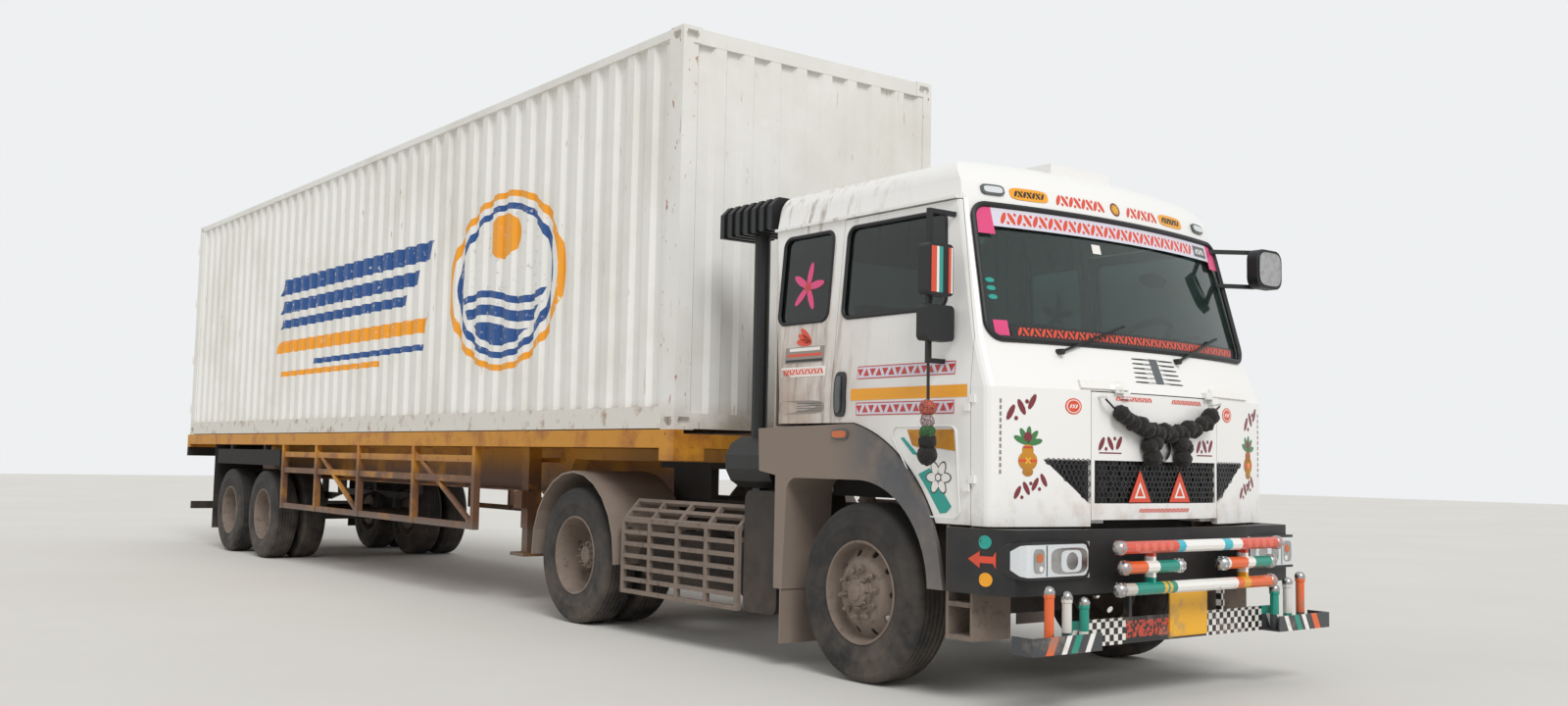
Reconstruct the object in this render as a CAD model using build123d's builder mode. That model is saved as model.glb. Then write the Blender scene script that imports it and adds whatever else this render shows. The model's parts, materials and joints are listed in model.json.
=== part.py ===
from build123d import *
from math import atan2, cos, degrees, radians, sin
import os

# Articulated lorry: a forward-control tractor unit and a semi-trailer that carries a 40 ft box.
# Lengths are in millimetres. The lorry faces -Y, +Z is up, and its right side is at -X.

# Lengths that set the stations along the lorry
front_overhang = 1530
wheelbase = 3350
fifth_wheel_lead = 450
kingpin_setback = 920
box_length = 12192
rear_overhang = 108

# Tyres, rims and tracks
tyre_r = 520
tyre_width = 280
tyre_shoulder = 34
tyre_flats = 32
rim_r = 290
rim_sides = 24
rim_wall = 14
rim_fit = 0.4
tyre_outer_x = 1220
twin_gap = 60
steer_x = 900

# Wheels and axle ends
rim_half = 122
front_disc_low = 38
front_disc_high = 112
front_disc_r = 172
hand_holes = 10
hand_hole_r = 21
hand_hole_circle = 230
hub_r = 104
hub_back = -70
hub_cap_r = 62
hub_cap_length = 34
hub_sides = 12
drum_r = 205
spindle_r = 42
spindle_length = 90
twin_hub_length = 196
twin_spindle_length = 150
axle_tube_r = 68
ear_half = 48

# Box body
box_width = 2438
box_height = 2896
deck_z = 1480
casting_lift = 8
bearer_lift = 20
side_inset = 10
top_rail = 70
front_pitch = 250
roof_drop = 14
wave_shape = ((0.18, 0), (0.30, 1), (0.70, 1), (0.82, 0))
rod_stations = (300, 860)
rod_stand = 38
rod_bracket = 30
rod_brackets = (1900, 2700, 3500)
handle_lift = 900
handle_length = 230
hinge_heights = (1780, 2450, 3250, 4000)
hinge_length = 120
hinge_play = 0.5
hinge_leg = 30
casting_x = 162
casting_y = 178
post_depth = casting_y
casting_z = 118
casting_hole = (56, 31)
casting_hole_depth = 40
post_width = 90
rail_height = 110
rail_width = 62
sheet = 6
side_pitch = 278
wave_depth = 36
floor_height = 165
door_thickness = 50
door_recess = 70
door_gap = 6
door_split = 24
hinge_out = 12
hinge_r = 7
rod_r = 17

# Trailer
trailer_axle_spacing = 1310
web_half = 8
tail_depth = 180
tail_taper = 700
tail_gap = 120
neck_taper = 180
bearer_width = 90
bearer_height = 100
step_bracket_x = 960
step_bracket_y = 190
step_bracket_depth = 90
rear_bolster_depth = 40
coupler_thickness = 14
kingpin_length = 84
bogie_spring_z = 790
bogie_leaves = 6
hanger_half = 45
bogie_spring_length = trailer_axle_spacing - 2 * hanger_half
leg_half = 62
leg_wall = 10
leg_inner_z = 640
foot_half = 125
foot_thickness = 30
gear_z = (815, 965)
gear_half = 75
gear_reach = 130
shaft_half = 20
leg_tie = 130
rack_bar = 60
rack_inset = 8
rack_z = (620, 1060, 1240)
rack_posts = (3200, 4520, 5930, 7180, 8280)
board_x = (1130, 1215)
board_arm = 60
board_z = (1105, 1290)
flap_lead = 160
flap_thickness = 10
mud_flap_z = 260
lamp_bar_x = 620
lamp_bar_depth = 60
lamp_bar_height = 120
underrun_x = 700
underrun_post = 80
underrun_z = 560
underrun_height = 100
beam_x = 480
beam_width = 140
beam_depth = 400
neck_depth = 95
neck_length = 2750
flange = 16
side_rail_height = 130
side_rail_width = 80
trailer_axle_1 = 8950
leg_station = 2980
leg_x = 750
leg_foot_z = 400

# Axles and springs
pin_r = 24
pin_fit = 0.4
ear_z = (66, 104)
hub_gap = 0.8
beam_half = 42
beam_end = 60
beam_pad = 90
axle_drop = 400
spring_x = 400
leaf_width = 76
leaf_thickness = 14
spring_eye = 40
hanger_length = 70
front_spring_length = 1300
front_leaves = 4
rear_spring_length = 1300
rear_leaves = 6
diff_r = 215
diff_width = 330

# Tractor frame
rail_wall = 9
cross_width = 60
front_member = 110
tow_r = 26
engine_half = 345
engine_y = (-880, 460)
engine_z = (610, 1440)
engine_foot = 60
engine_foot_share = 0.8
plate_thickness = 48
plate_width = 900
plate_length = 860
plate_corner = 160
throat_half = 210
rail_x = 395
rail_section = 70
rail_z = (700, 970)
frame_front = 1020
frame_rear = 680
plate_z = 1250
plate_gap = 0.5
kingpin_r = 25.4
kingpin_fit = 1.5

# Cab
cab_wall = 40
cab_half = 1240
cab_half_gutter = 1145
cab_bow_r = 4600
corner_r = 60
corner_sweep = 75
corner_facets = 3
cab_face = -1220
cab_rear = 930
cab_base_z = 950
cab_waist_z = 1690
screen_z = (1954, 2722)
gutter_z = 2750
roof_z = 3045
panel_gap = 6
door_front = -915
door_rear = 250
door_front_top = -735
door_axis = -918
door_axis_out = 5
door_hinge_z = (1130, 1560)
door_hinge_length = 44
door_hinge_r = 5
door_leaf = 40
door_base_z = 952
flap_half = 570
flap_z = (985, 1685)
fender_out = 12
flap_hinge_x = 410
flap_hinge_length = 60
flap_hinge_r = 6
flap_hinge_out = 3
flap_leaf = 34
glass_thickness = 6

# Cab surfaces and openings
wrap = 60
cab_wrap_angle = 25
tumble = 12
cowl_y = -1110
header_y = -900
brow_y = -868
brow_z = 2850
roof_fall = 40
roof_crown = 25
screen_half = (1160, 1100)
screen_corner = 90
screen_depth = 420
grille_half = (590, 900)
grille_z = (1075, 1310)
flap_frame = 22
rear_window_half = 640
rear_window_z = (1950, 2620)
window_z = (2135, 2690)
window_corner = 60
door_window_y = (-690, 200)
pillar_lean = 60
side_window_y = (340, 825)
glass_inset = 14
gutter_out = 22
hatch_half = 270
hatch_y = (-620, -120)
hatch_z = 3090
hook_x = 520
hook_z = 1660
hook_r = 9
hook_back = 50
hook_out = 40
cell_pitch = 96
cell_half = 40
cell_columns = 12
cell_rows = 3
garland_r = 14
garland_gap = 8
garland_bend = 480
garland_route = ((-520, 1645), (-395, 1560), (-210, 1489), (0, 1466), (210, 1489), (395, 1560), (520, 1645))
strand_x = 105
strand_r = 16
strand_z = (1300, 1480)
fender_foot_z = 595
fender_top_z = 1500
fender_tail_z = 485
arch_top_z = 1172
fender_x = 1228
fender_face = 24
fender_inner_x = 880
liner = 14
fender_arm = 40
mud_y = 690
mud_z = 150
floor_z = 1200
pan = 30
well_z = 965
well_front = -1190
well_rear = -640
sill_x = 1180
sill_front = -30
tunnel_half = 440
tunnel_z = 1530
cab_mount = 80
cab_mount_y = (-960, 780)
seat_x = 700
seat_half = 220
seat_y = (-180, 300)
seat_top_z = 1620
back_depth = 110
back_top_z = 2250
dash_half = 1130
dash_y = (-900, -640)
dash_z = (1560, 1900)
column_lean = 35
column_length = 260
steering_r = 230
bumper_half = 1288
bumper_front = -1290
bumper_side = -1050
bumper_rear = -800
bumper_wall = 40
bumper_z = (600, 940)
lamp_x = (720, 1180)
lamp_z = (690, 880)
lamp_out = 6
lamp_deep = 70
guard_bar = 64
guard_ball = 80
guard_sides = 10
# Front rails: station from the front axle, inner and outer end, height
guard_table = ((guard_ball / 2 - front_overhang, 0, 710, 856), (-1480, 200, 660, 750), (-1470, 0, 680, 636))
guard_arm_x = 420
guard_arm = 24
board_half = 900
board_y = -1330
board_thickness = 22
board_lap = 40
ornament_z = (330, 470)
shelf_x = (800, 1330)
shelf_front = -1450
shelf_wall = 8
shelf_lip = 90
post_r = 24
post_ball = 30
# Posts on the shelves: half distance apart, height of the ball on top
post_table = ((1130, 620), (995, 590), (860, 555))
blank_plate_x = (-85, 256)
blank_plate_z = (346, 587)
blank_plate_thickness = 8
step_z = (342, 517, 854)
step_y = (-930, -748)
step_depth = 300
step_inset = 10
step_thickness = 26
tank_x = (640, 1200)
tank_y = (800, 1150)
tank_z = (305, 1080)
cage_y = (1190, 2640)
cage_bar = 30
cage_post = 39
cage_columns = 4
cage_pitch = 85
cage_rows = 6
cage_slope_rows = 2
cage_slope = 42
cage_low_z = 300
cage_arm_z = 740
air_tank_x = 930
air_tank_r = 165
air_tank_z = 545
air_tank_y = (1240, 2590)
air_tank_arm = 60
guard_reach = 640
guard_flats = 12
guard_top_z = 1168
guard_low_z = 490
guard_bracket = 50
guard_stand = 12
guard_wall = 14
guard_inner_x = 590
snorkel_x = -1000
head_half = 150
head_y = (990, 1570)
head_z = (2780, 3000)
head_corner = 60
head_ribs = 7
head_rib = 44
head_groove = 16
pipe_y = 1280
pipe_r = 52
drum_z = 1262
drum_y = (960, 1420)
drum_body_r = 170
post_y = 1210
wiper_pivots = (-722, 252)
wiper_z = 1900
wiper_back = 14
wiper_out = 52
wiper_length = 545
wiper_rise = 178
wiper_gap = 18
mirror_x = 1345
mirror_half = 104
mirror_depth = 80
mirror_corner = 28
mirror_z = (1935, 2130)
cover_half = 94
cover_z = (2180, 2465)
mirror_top_z = 2510
mirror_arm_y = -700
arm_bar = 26
arm_drop = 115
pillar_inset = 26
arm_rise = 160
left_mirror_x = (1205, 1480)
left_mirror_y = (-1050, -975)
left_mirror_z = (2440, 2690)
left_mirror_corner = 70
left_arm_x = 1290
tassel_r = 24
tassel_bend = 4000

# Stations worked out from the lengths above, with the lorry's middle at y = 0
overall_length = (front_overhang + wheelbase - fifth_wheel_lead - kingpin_setback
                  + box_length + rear_overhang)
nose_y = -overall_length / 2
front_axle_y = nose_y + front_overhang
drive_axle_y = front_axle_y + wheelbase
kingpin_y = drive_axle_y - fifth_wheel_lead
box_front_y = kingpin_y - kingpin_setback
box_rear_y = box_front_y + box_length
trailer_rear_y = box_rear_y + rear_overhang
box_half = box_width / 2
box_top_z = deck_z + box_height
beam_top_z = deck_z - side_rail_height
tyre_x = tyre_outer_x - tyre_width / 2
twin_x = tyre_x - tyre_width - twin_gap
leg_y = box_front_y + leg_station
twin_middle = (tyre_x + twin_x) / 2
twin_reach = (tyre_x - twin_x) / 2 + rim_half
axle_tube_end = twin_middle - twin_reach - hub_gap
trailer_axles_y = [box_front_y + trailer_axle_1 + n * trailer_axle_spacing for n in range(2)]
frame_front_y = front_axle_y - frame_front
frame_rear_y = drive_axle_y + frame_rear
cross_z = (rail_z[0] + 30, rail_z[1] - 30)
cross_members_y = (front_axle_y + 620, front_axle_y + 1700, drive_axle_y - 760, drive_axle_y + 560)
cab_face_y = front_axle_y + cab_face
cab_rear_y = front_axle_y + cab_rear
door_axis_x = cab_half + door_axis_out
cab_axis_y = cab_face_y + cab_bow_r
garland_y = cab_face_y - garland_r - garland_gap
flap_axis_y = cab_face_y - flap_hinge_out
flap_axis_z = flap_z[1] + panel_gap / 2
bracket_z = mirror_z[0] - arm_drop
tassel_route = [(-mirror_x + shift, front_axle_y + mirror_arm_y, bracket_z + drop)
                for shift, drop in ((0, -0.6), (6, -270), (0, -560))]

os.makedirs("parts", exist_ok=True)


def save(piece, name):
    """Label a finished piece and write it."""
    piece.part.label = name
    export_step(piece.part, f"parts/{name}.step")


def block(x, y, z, mode=Mode.ADD):
    """A box between two values on each axis."""
    with Locations(((x[0] + x[1]) / 2, (y[0] + y[1]) / 2, (z[0] + z[1]) / 2)):
        Box(x[1] - x[0], y[1] - y[0], z[1] - z[0], mode=mode)


def pair(x, y, z, mode=Mode.ADD):
    """The same box on the right and on the left."""
    block(x, y, z, mode)
    block((-x[1], -x[0]), y, z, mode)


def bar(start, end, width, height):
    """A straight bar of rectangular section between two points."""
    run = Edge.make_line(start, end)
    side = Vector(1, 0, 0) if abs(run.tangent_at(0).X) < 0.7 else Vector(0, 1, 0)
    with BuildSketch(Plane(origin=start, z_dir=run.tangent_at(0), x_dir=side)) as section:
        Rectangle(width, height)
    extrude(section.sketch, amount=run.length)


def ring_of_flats(plane, radius, sides):
    """A regular outline that lies on a flat, measured across its flats."""
    with BuildSketch(plane) as outline:
        RegularPolygon(radius, sides, major_radius=False, rotation=180 / sides)
    return outline.sketch


def wheel_plane(x, y, side):
    """Plane across a wheel at x, facing out of the lorry."""
    return Plane(origin=(side * x, y, tyre_r), z_dir=(side, 0, 0), x_dir=(0, side, 0))


def prism(plane, radius, low, high, sides=rim_sides, mode=Mode.ADD):
    """A prism of flats between two distances along a plane."""
    extrude(ring_of_flats(plane.offset(low), radius, sides), amount=high - low, mode=mode)


def cone(plane, low, low_r, high, high_r, sides=rim_sides, mode=Mode.ADD):
    """A cone of flats between two distances along a plane, its radii measured across the flats."""
    turns = [radians((n + 0.5) * 360 / sides) for n in range(sides)]
    rings = []
    for height, radius in ((low, low_r), (high, high_r)):
        reach = radius / cos(radians(180 / sides))
        rings.append([plane.from_local_coords((reach * cos(t), reach * sin(t), height)) for t in turns])
    near, far = rings
    walls = [Face(Wire.make_polygon([near[n - 1], near[n], far[n], far[n - 1]])) for n in range(sides)]
    add(Solid(Shell(walls + [Face(Wire.make_polygon(ring)) for ring in rings])), mode=mode)


def ball(plane, radius, sides=8):
    """A ball of flats round a plane's origin."""
    turns = [radians(a) for a in (-67.5, -22.5, 22.5, 67.5)]
    rings = [(radius * sin(t), radius * cos(t)) for t in turns]
    for (low, low_r), (high, high_r) in zip(rings, rings[1:]):
        cone(plane, low, low_r, high, high_r, sides)


def round_bar(plane, radius, low, high, mode=Mode.ADD):
    """A round bar between two distances along a plane."""
    with BuildSketch(plane.offset(low)) as disc:
        Circle(radius)
    extrude(disc.sketch, amount=high - low, mode=mode)


def carried_axle(y):
    """A beam axle across the lorry with a stub in each twin hub."""
    for side in (-1, 1):
        plane = wheel_plane(0, y, side)
        round_bar(plane, axle_tube_r, 0, axle_tube_end)
        round_bar(plane, spindle_r, axle_tube_end, twin_middle + twin_spindle_length)


def leaf_spring(x, y, z, length, leaves):
    """A pack of leaves, longest on top, that lies on an axle."""
    for leaf in range(leaves):
        reach = length / 2 * (1 - 0.72 * leaf / leaves)
        top = z - leaf * leaf_thickness
        pair((x - leaf_width / 2, x + leaf_width / 2), (y - reach, y + reach), (top - leaf_thickness, top))


def at_wheel(shape, x, y, side):
    """A wheel piece moved to its place, with its outer face turned out of the lorry."""
    return shape.part.moved(Location((side * x, y, tyre_r), (0, 0, 0 if side > 0 else 180)))


# One tyre, with flats round its tread and bevelled shoulders
with BuildPart() as tyre:
    shoulder_r = tyre_r - tyre_shoulder
    cone(Plane.YZ, -tyre_width / 2, shoulder_r, tyre_shoulder - tyre_width / 2, tyre_r, tyre_flats)
    prism(Plane.YZ, tyre_r, tyre_shoulder - tyre_width / 2, tyre_width / 2 - tyre_shoulder, tyre_flats)
    cone(Plane.YZ, tyre_width / 2 - tyre_shoulder, tyre_r, tyre_width / 2, shoulder_r, tyre_flats)
    prism(Plane.YZ, rim_r, -tyre_width / 2, tyre_width / 2, mode=Mode.SUBTRACT)

# Rim of a steered wheel, its disc bulging outwards round the hub
with BuildPart() as steer_rim:
    prism(Plane.YZ, rim_r - rim_fit, -rim_half, rim_half)
    prism(Plane.YZ, rim_r - rim_wall, -rim_half, rim_half, mode=Mode.SUBTRACT)
    cone(Plane.YZ, front_disc_low, rim_r - rim_wall / 2, front_disc_high, front_disc_r)
    cone(Plane.YZ, front_disc_low - rim_wall, rim_r - rim_wall, front_disc_high - rim_wall, front_disc_r,
         mode=Mode.SUBTRACT)
    with BuildSketch(Plane.YZ) as hole_view:
        with PolarLocations(hand_hole_circle, hand_holes):
            RegularPolygon(hand_hole_r, 8)
    extrude(hole_view.sketch, amount=front_disc_high, mode=Mode.SUBTRACT)
    prism(Plane.YZ, hub_r, hub_back, front_disc_high)
    prism(Plane.YZ, hub_cap_r, front_disc_high, front_disc_high + hub_cap_length, hub_sides)
    round_bar(Plane.YZ, spindle_r + rim_fit, hub_back, spindle_length + rim_fit, Mode.SUBTRACT)

# Rims of a twin pair, back to back on one hub with its brake drum
with BuildPart() as twin_rim:
    prism(Plane.YZ, rim_r - rim_fit, -twin_reach, twin_reach)
    prism(Plane.YZ, rim_r - rim_wall, rim_wall, twin_reach, mode=Mode.SUBTRACT)
    prism(Plane.YZ, rim_r - rim_wall, -twin_reach, -rim_wall, mode=Mode.SUBTRACT)
    prism(Plane.YZ, drum_r, -twin_reach, -rim_wall)
    prism(Plane.YZ, hub_r, rim_wall, twin_hub_length, hub_sides)
    round_bar(Plane.YZ, spindle_r + rim_fit, -twin_reach, twin_spindle_length + rim_fit, Mode.SUBTRACT)

# Wheels and knuckles of both sides
for name, side in (("right", -1), ("left", 1)):
    with BuildPart() as front_tyre:
        add(at_wheel(tyre, tyre_x, front_axle_y, side))
    save(front_tyre, f"front_tyre_{name}")

    with BuildPart() as front_rim:
        add(at_wheel(steer_rim, tyre_x, front_axle_y, side))
    save(front_rim, f"front_rim_{name}")

    with BuildPart() as drive_tyres:
        for x in (tyre_x, twin_x):
            add(at_wheel(tyre, x, drive_axle_y, side))
    save(drive_tyres, f"drive_tyres_{name}")

    with BuildPart() as drive_rims:
        add(at_wheel(twin_rim, twin_middle, drive_axle_y, side))
    save(drive_rims, f"drive_rims_{name}")

    for number, y in enumerate(trailer_axles_y, start=1):
        with BuildPart() as trailer_wheels:
            for x in (tyre_x, twin_x):
                add(at_wheel(tyre, x, y, side))
            add(at_wheel(twin_rim, twin_middle, y, side))
        save(trailer_wheels, f"trailer_wheels_{number}_{name}")

    # The knuckle's ears hold the axle's end, and its spindle carries the front hub
    with BuildPart() as knuckle:
        for low, high in ((-ear_z[1], -ear_z[0]), (ear_z[0], ear_z[1])):
            block((side * steer_x - ear_half, side * steer_x + ear_half),
                  (front_axle_y - ear_half, front_axle_y + ear_half), (tyre_r + low, tyre_r + high))
        inner, outer = sorted((side * (steer_x + ear_half), side * (tyre_x + hub_back - hub_gap)))
        block((inner, outer), (front_axle_y - ear_half, front_axle_y + ear_half),
              (tyre_r - ear_z[1], tyre_r + ear_z[1]))
        plane = wheel_plane(tyre_x, front_axle_y, side)
        round_bar(plane, spindle_r, hub_back - hub_gap, spindle_length)
        post = Plane((side * steer_x, front_axle_y, tyre_r - ear_z[0]))
        round_bar(post, pin_r, 0, 2 * ear_z[0])
    save(knuckle, f"knuckle_{name}")

# Front axle: a dropped beam whose ends turn in the knuckles, on leaf springs
with BuildPart() as front_axle:
    with BuildSketch(Plane.XZ.offset(-front_axle_y - beam_half)):
        with BuildLine():
            Polyline((0, axle_drop - beam_end), (spring_x + beam_pad, axle_drop - beam_end),
                     (steer_x - beam_pad, tyre_r - beam_end), (steer_x, tyre_r - beam_end),
                     (steer_x, tyre_r + beam_end), (steer_x - beam_pad, tyre_r + beam_end),
                     (spring_x + beam_pad, axle_drop + beam_end), (0, axle_drop + beam_end), close=True)
        make_face()
        mirror(about=Plane.YZ)
    extrude(amount=2 * beam_half)
    for side in (-1, 1):
        round_bar(Plane((side * steer_x, front_axle_y, tyre_r - beam_end)), beam_half, 0, 2 * beam_end)
    for side in (-1, 1):
        post = Plane((side * steer_x, front_axle_y, tyre_r - beam_end))
        round_bar(post, pin_r + pin_fit, 0, 2 * beam_end, mode=Mode.SUBTRACT)
    leaf_spring(spring_x, front_axle_y, rail_z[0] - spring_eye, front_spring_length, front_leaves)
    pair((spring_x - leaf_width / 2, spring_x + leaf_width / 2),
         (front_axle_y - 2 * beam_half, front_axle_y + 2 * beam_half),
         (axle_drop + beam_end, rail_z[0] - spring_eye - front_leaves * leaf_thickness))
    for end in (-front_spring_length / 2, front_spring_length / 2 - hanger_length):
        pair((spring_x - leaf_width / 2, spring_x + leaf_width / 2),
             (front_axle_y + end, front_axle_y + end + hanger_length), (rail_z[0] - spring_eye, rail_z[0]))
save(front_axle, "front_axle")

# Drive axle: a casing with its differential, on springs hung from the rails
with BuildPart() as drive_axle:
    carried_axle(drive_axle_y)
    prism(Plane((0, drive_axle_y - diff_width / 2, tyre_r), x_dir=(1, 0, 0), z_dir=(0, 1, 0)),
          diff_r, 0, diff_width, sides=hub_sides)
    leaf_spring(spring_x, drive_axle_y, rail_z[0] - spring_eye, rear_spring_length, rear_leaves)
    pair((spring_x - leaf_width / 2, spring_x + leaf_width / 2),
         (drive_axle_y - 2 * beam_half, drive_axle_y + 2 * beam_half),
         (tyre_r, rail_z[0] - spring_eye - rear_leaves * leaf_thickness))
    for end in (-rear_spring_length / 2, rear_spring_length / 2 - hanger_length):
        pair((spring_x - leaf_width / 2, spring_x + leaf_width / 2),
             (drive_axle_y + end, drive_axle_y + end + hanger_length), (rail_z[0] - spring_eye, rail_z[0]))
save(drive_axle, "drive_axle")

# Ladder frame of the tractor: two channels and their cross members
with BuildPart() as chassis_frame:
    with BuildSketch(Plane.XZ.offset(-frame_front_y)):
        for side in (-1, 1):
            with Locations((side * rail_x, sum(rail_z) / 2)):
                Rectangle(rail_section, rail_z[1] - rail_z[0])
            with Locations((side * (rail_x - rail_wall), sum(rail_z) / 2)):
                Rectangle(rail_section, rail_z[1] - rail_z[0] - 2 * rail_wall, mode=Mode.SUBTRACT)
    extrude(amount=-(frame_rear_y - frame_front_y))
    for y in cross_members_y:
        block((-rail_x - rail_section / 2 + rail_wall, rail_x + rail_section / 2 - rail_wall), (y, y + cross_width),
              (cross_z[0], cross_z[1]))
    # Front cross member with the towing pin's hole
    block((-rail_x - rail_section / 2, rail_x + rail_section / 2), (frame_front_y, frame_front_y + front_member),
          (rail_z[0], rail_z[1]))
    with Locations(Plane((0, frame_front_y + front_member / 2, rail_z[1]))):
        Hole(tow_r)
save(chassis_frame, "chassis_frame")

with BuildPart() as engine_block:
    block((-engine_half, engine_half), (front_axle_y + engine_y[0], front_axle_y + engine_y[1]), engine_z)
    for y in engine_y:
        foot = front_axle_y + y * engine_foot_share
        pair((engine_half, rail_x), (foot - engine_foot / 2, foot + engine_foot / 2), (rail_z[1], rail_z[1] + engine_foot))
save(engine_block, "engine_block")

# Fifth wheel: a plate with a throat for the pin, on two pedestals
with BuildPart() as fifth_wheel:
    with BuildSketch(Plane.XY.offset(plate_z - plate_thickness)):
        with Locations((0, kingpin_y)):
            Rectangle(plate_width, plate_length)
            Circle(kingpin_r + kingpin_fit, mode=Mode.SUBTRACT)
        with BuildLine():
            Polyline((-kingpin_r - kingpin_fit, kingpin_y), (kingpin_r + kingpin_fit, kingpin_y),
                     (throat_half, kingpin_y + plate_length / 2), (-throat_half, kingpin_y + plate_length / 2),
                     close=True)
        make_face(mode=Mode.SUBTRACT)
    extrude(amount=plate_thickness)
    chamfer(fifth_wheel.edges().filter_by(Axis.Z).group_by(Axis.Y)[0], plate_corner)
    pair((rail_x - rail_section / 2, rail_x + rail_section / 2), (kingpin_y - 260, kingpin_y + 260),
         (rail_z[1], plate_z - plate_thickness))
save(fifth_wheel, "fifth_wheel")

# Trailer frame: two stepped beams, cross members, side rails, front bolster and the pin's plate
with BuildPart() as trailer_frame:
    with BuildSketch(Plane.YZ.offset(beam_x - beam_width / 2)):
        with BuildLine():
            Polyline((box_front_y, beam_top_z), (trailer_rear_y, beam_top_z), (trailer_rear_y, beam_top_z - tail_depth),
                     (trailer_axles_y[1] + tail_taper, beam_top_z - beam_depth),
                     (box_front_y + neck_length, beam_top_z - beam_depth),
                     (box_front_y + neck_length - neck_taper, beam_top_z - neck_depth),
                     (box_front_y, beam_top_z - neck_depth), close=True)
        make_face()
    extrude(amount=beam_width)
    with BuildSketch(Plane.YZ.offset(beam_x + web_half)):
        with BuildLine():
            Polyline((box_front_y + neck_length + flange, beam_top_z - flange),
                     (trailer_rear_y - flange, beam_top_z - flange),
                     (trailer_rear_y - flange, beam_top_z - tail_depth + flange),
                     (trailer_axles_y[1] + tail_taper, beam_top_z - beam_depth + flange),
                     (box_front_y + neck_length + flange, beam_top_z - beam_depth + flange), close=True)
        make_face()
    extrude(amount=beam_width, mode=Mode.SUBTRACT)
    mirror(about=Plane.YZ)
    pair((box_half - side_rail_width, box_half), (box_front_y, trailer_rear_y - tail_gap), (beam_top_z, deck_z))
    cross_count = 15
    cross_step = (trailer_rear_y - tail_gap - box_front_y - bearer_width) / (cross_count - 1)
    for n in range(cross_count):
        y = box_front_y + n * cross_step
        block((side_rail_width - box_half, box_half - side_rail_width), (y, y + bearer_width),
              (beam_top_z, beam_top_z + bearer_height))
    # Front bolster and its step bracket
    pair((step_bracket_x, box_half), (box_front_y, box_front_y + step_bracket_y),
         (beam_top_z - step_bracket_depth, beam_top_z))
    # Rear bolster
    block((-box_half, box_half), (trailer_rear_y - tail_gap, trailer_rear_y), (beam_top_z - rear_bolster_depth, deck_z))
    # Plate and kingpin
    block((web_half - beam_x, beam_x - web_half), (box_front_y, box_front_y + neck_length - neck_taper),
          (plate_z + plate_gap, plate_z + plate_gap + coupler_thickness))
    pin = Plane((0, kingpin_y, plate_z - kingpin_length))
    round_bar(pin, kingpin_r, 0, kingpin_length + plate_gap + coupler_thickness)
save(trailer_frame, "trailer_frame")

# Bogie: two axles on leaf springs under the beams
with BuildPart() as trailer_axles:
    for y in trailer_axles_y:
        carried_axle(y)
        leaf_spring(beam_x, y, bogie_spring_z, bogie_spring_length, bogie_leaves)
        pair((beam_x - leaf_width / 2, beam_x + leaf_width / 2), (y - beam_half, y + beam_half),
             (tyre_r, bogie_spring_z - bogie_leaves * leaf_thickness))
    for y in (trailer_axles_y[0] - trailer_axle_spacing / 2, sum(trailer_axles_y) / 2,
              trailer_axles_y[1] + trailer_axle_spacing / 2):
        pair((beam_x - leaf_width / 2, beam_x + leaf_width / 2), (y - hanger_half, y + hanger_half),
             (bogie_spring_z - leaf_thickness, beam_top_z - beam_depth))
save(trailer_axles, "trailer_axles")

# Landing legs with their feet, braces and cross shaft
with BuildPart() as landing_legs:
    pair((leg_x - leg_half, leg_x + leg_half), (leg_y - leg_half, leg_y + leg_half), (leg_inner_z, beam_top_z))
    pair((leg_x - leg_half + leg_wall, leg_x + leg_half - leg_wall),
         (leg_y - leg_half + leg_wall, leg_y + leg_half - leg_wall), (leg_foot_z, leg_inner_z))
    pair((leg_x - foot_half, leg_x + foot_half), (leg_y - foot_half, leg_y + foot_half),
         (leg_foot_z, leg_foot_z + foot_thickness))
    pair((leg_x - leg_half, leg_x + gear_reach), (leg_y - gear_half, leg_y + gear_half), gear_z)
    block((-leg_x, leg_x), (leg_y - shaft_half, leg_y + shaft_half),
          (sum(gear_z) / 2 - shaft_half, sum(gear_z) / 2 + shaft_half))
    pair((beam_x + web_half, leg_x), (leg_y - shaft_half, leg_y + shaft_half),
         (beam_top_z - leg_tie, beam_top_z - leg_tie + 2 * shaft_half))
save(landing_legs, "landing_legs")

# Side guards between the legs and the bogie
with BuildPart() as side_racks:
    for side in (-1, 1):
        x = side * (box_half - rack_bar / 2 - rack_inset)
        for station in rack_posts:
            y = box_front_y + station
            bar((x, y, rack_z[0]), (x, y, beam_top_z), rack_bar, rack_bar)
        for z in (rack_z[0] + rack_bar / 2, rack_z[1], rack_z[2]):
            bar((x, box_front_y + rack_posts[0] - rack_bar / 2, z), (x, box_front_y + rack_posts[-1] + rack_bar / 2, z),
                rack_bar * 0.6, rack_bar)
        for start, end in zip(rack_posts[0:-1:2], rack_posts[1::2]):
            bar((x, box_front_y + start, rack_z[0] + rack_bar / 2), (x, box_front_y + end, beam_top_z - rack_bar),
                rack_bar * 0.5, rack_bar * 0.7)
save(side_racks, "side_racks")

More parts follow.
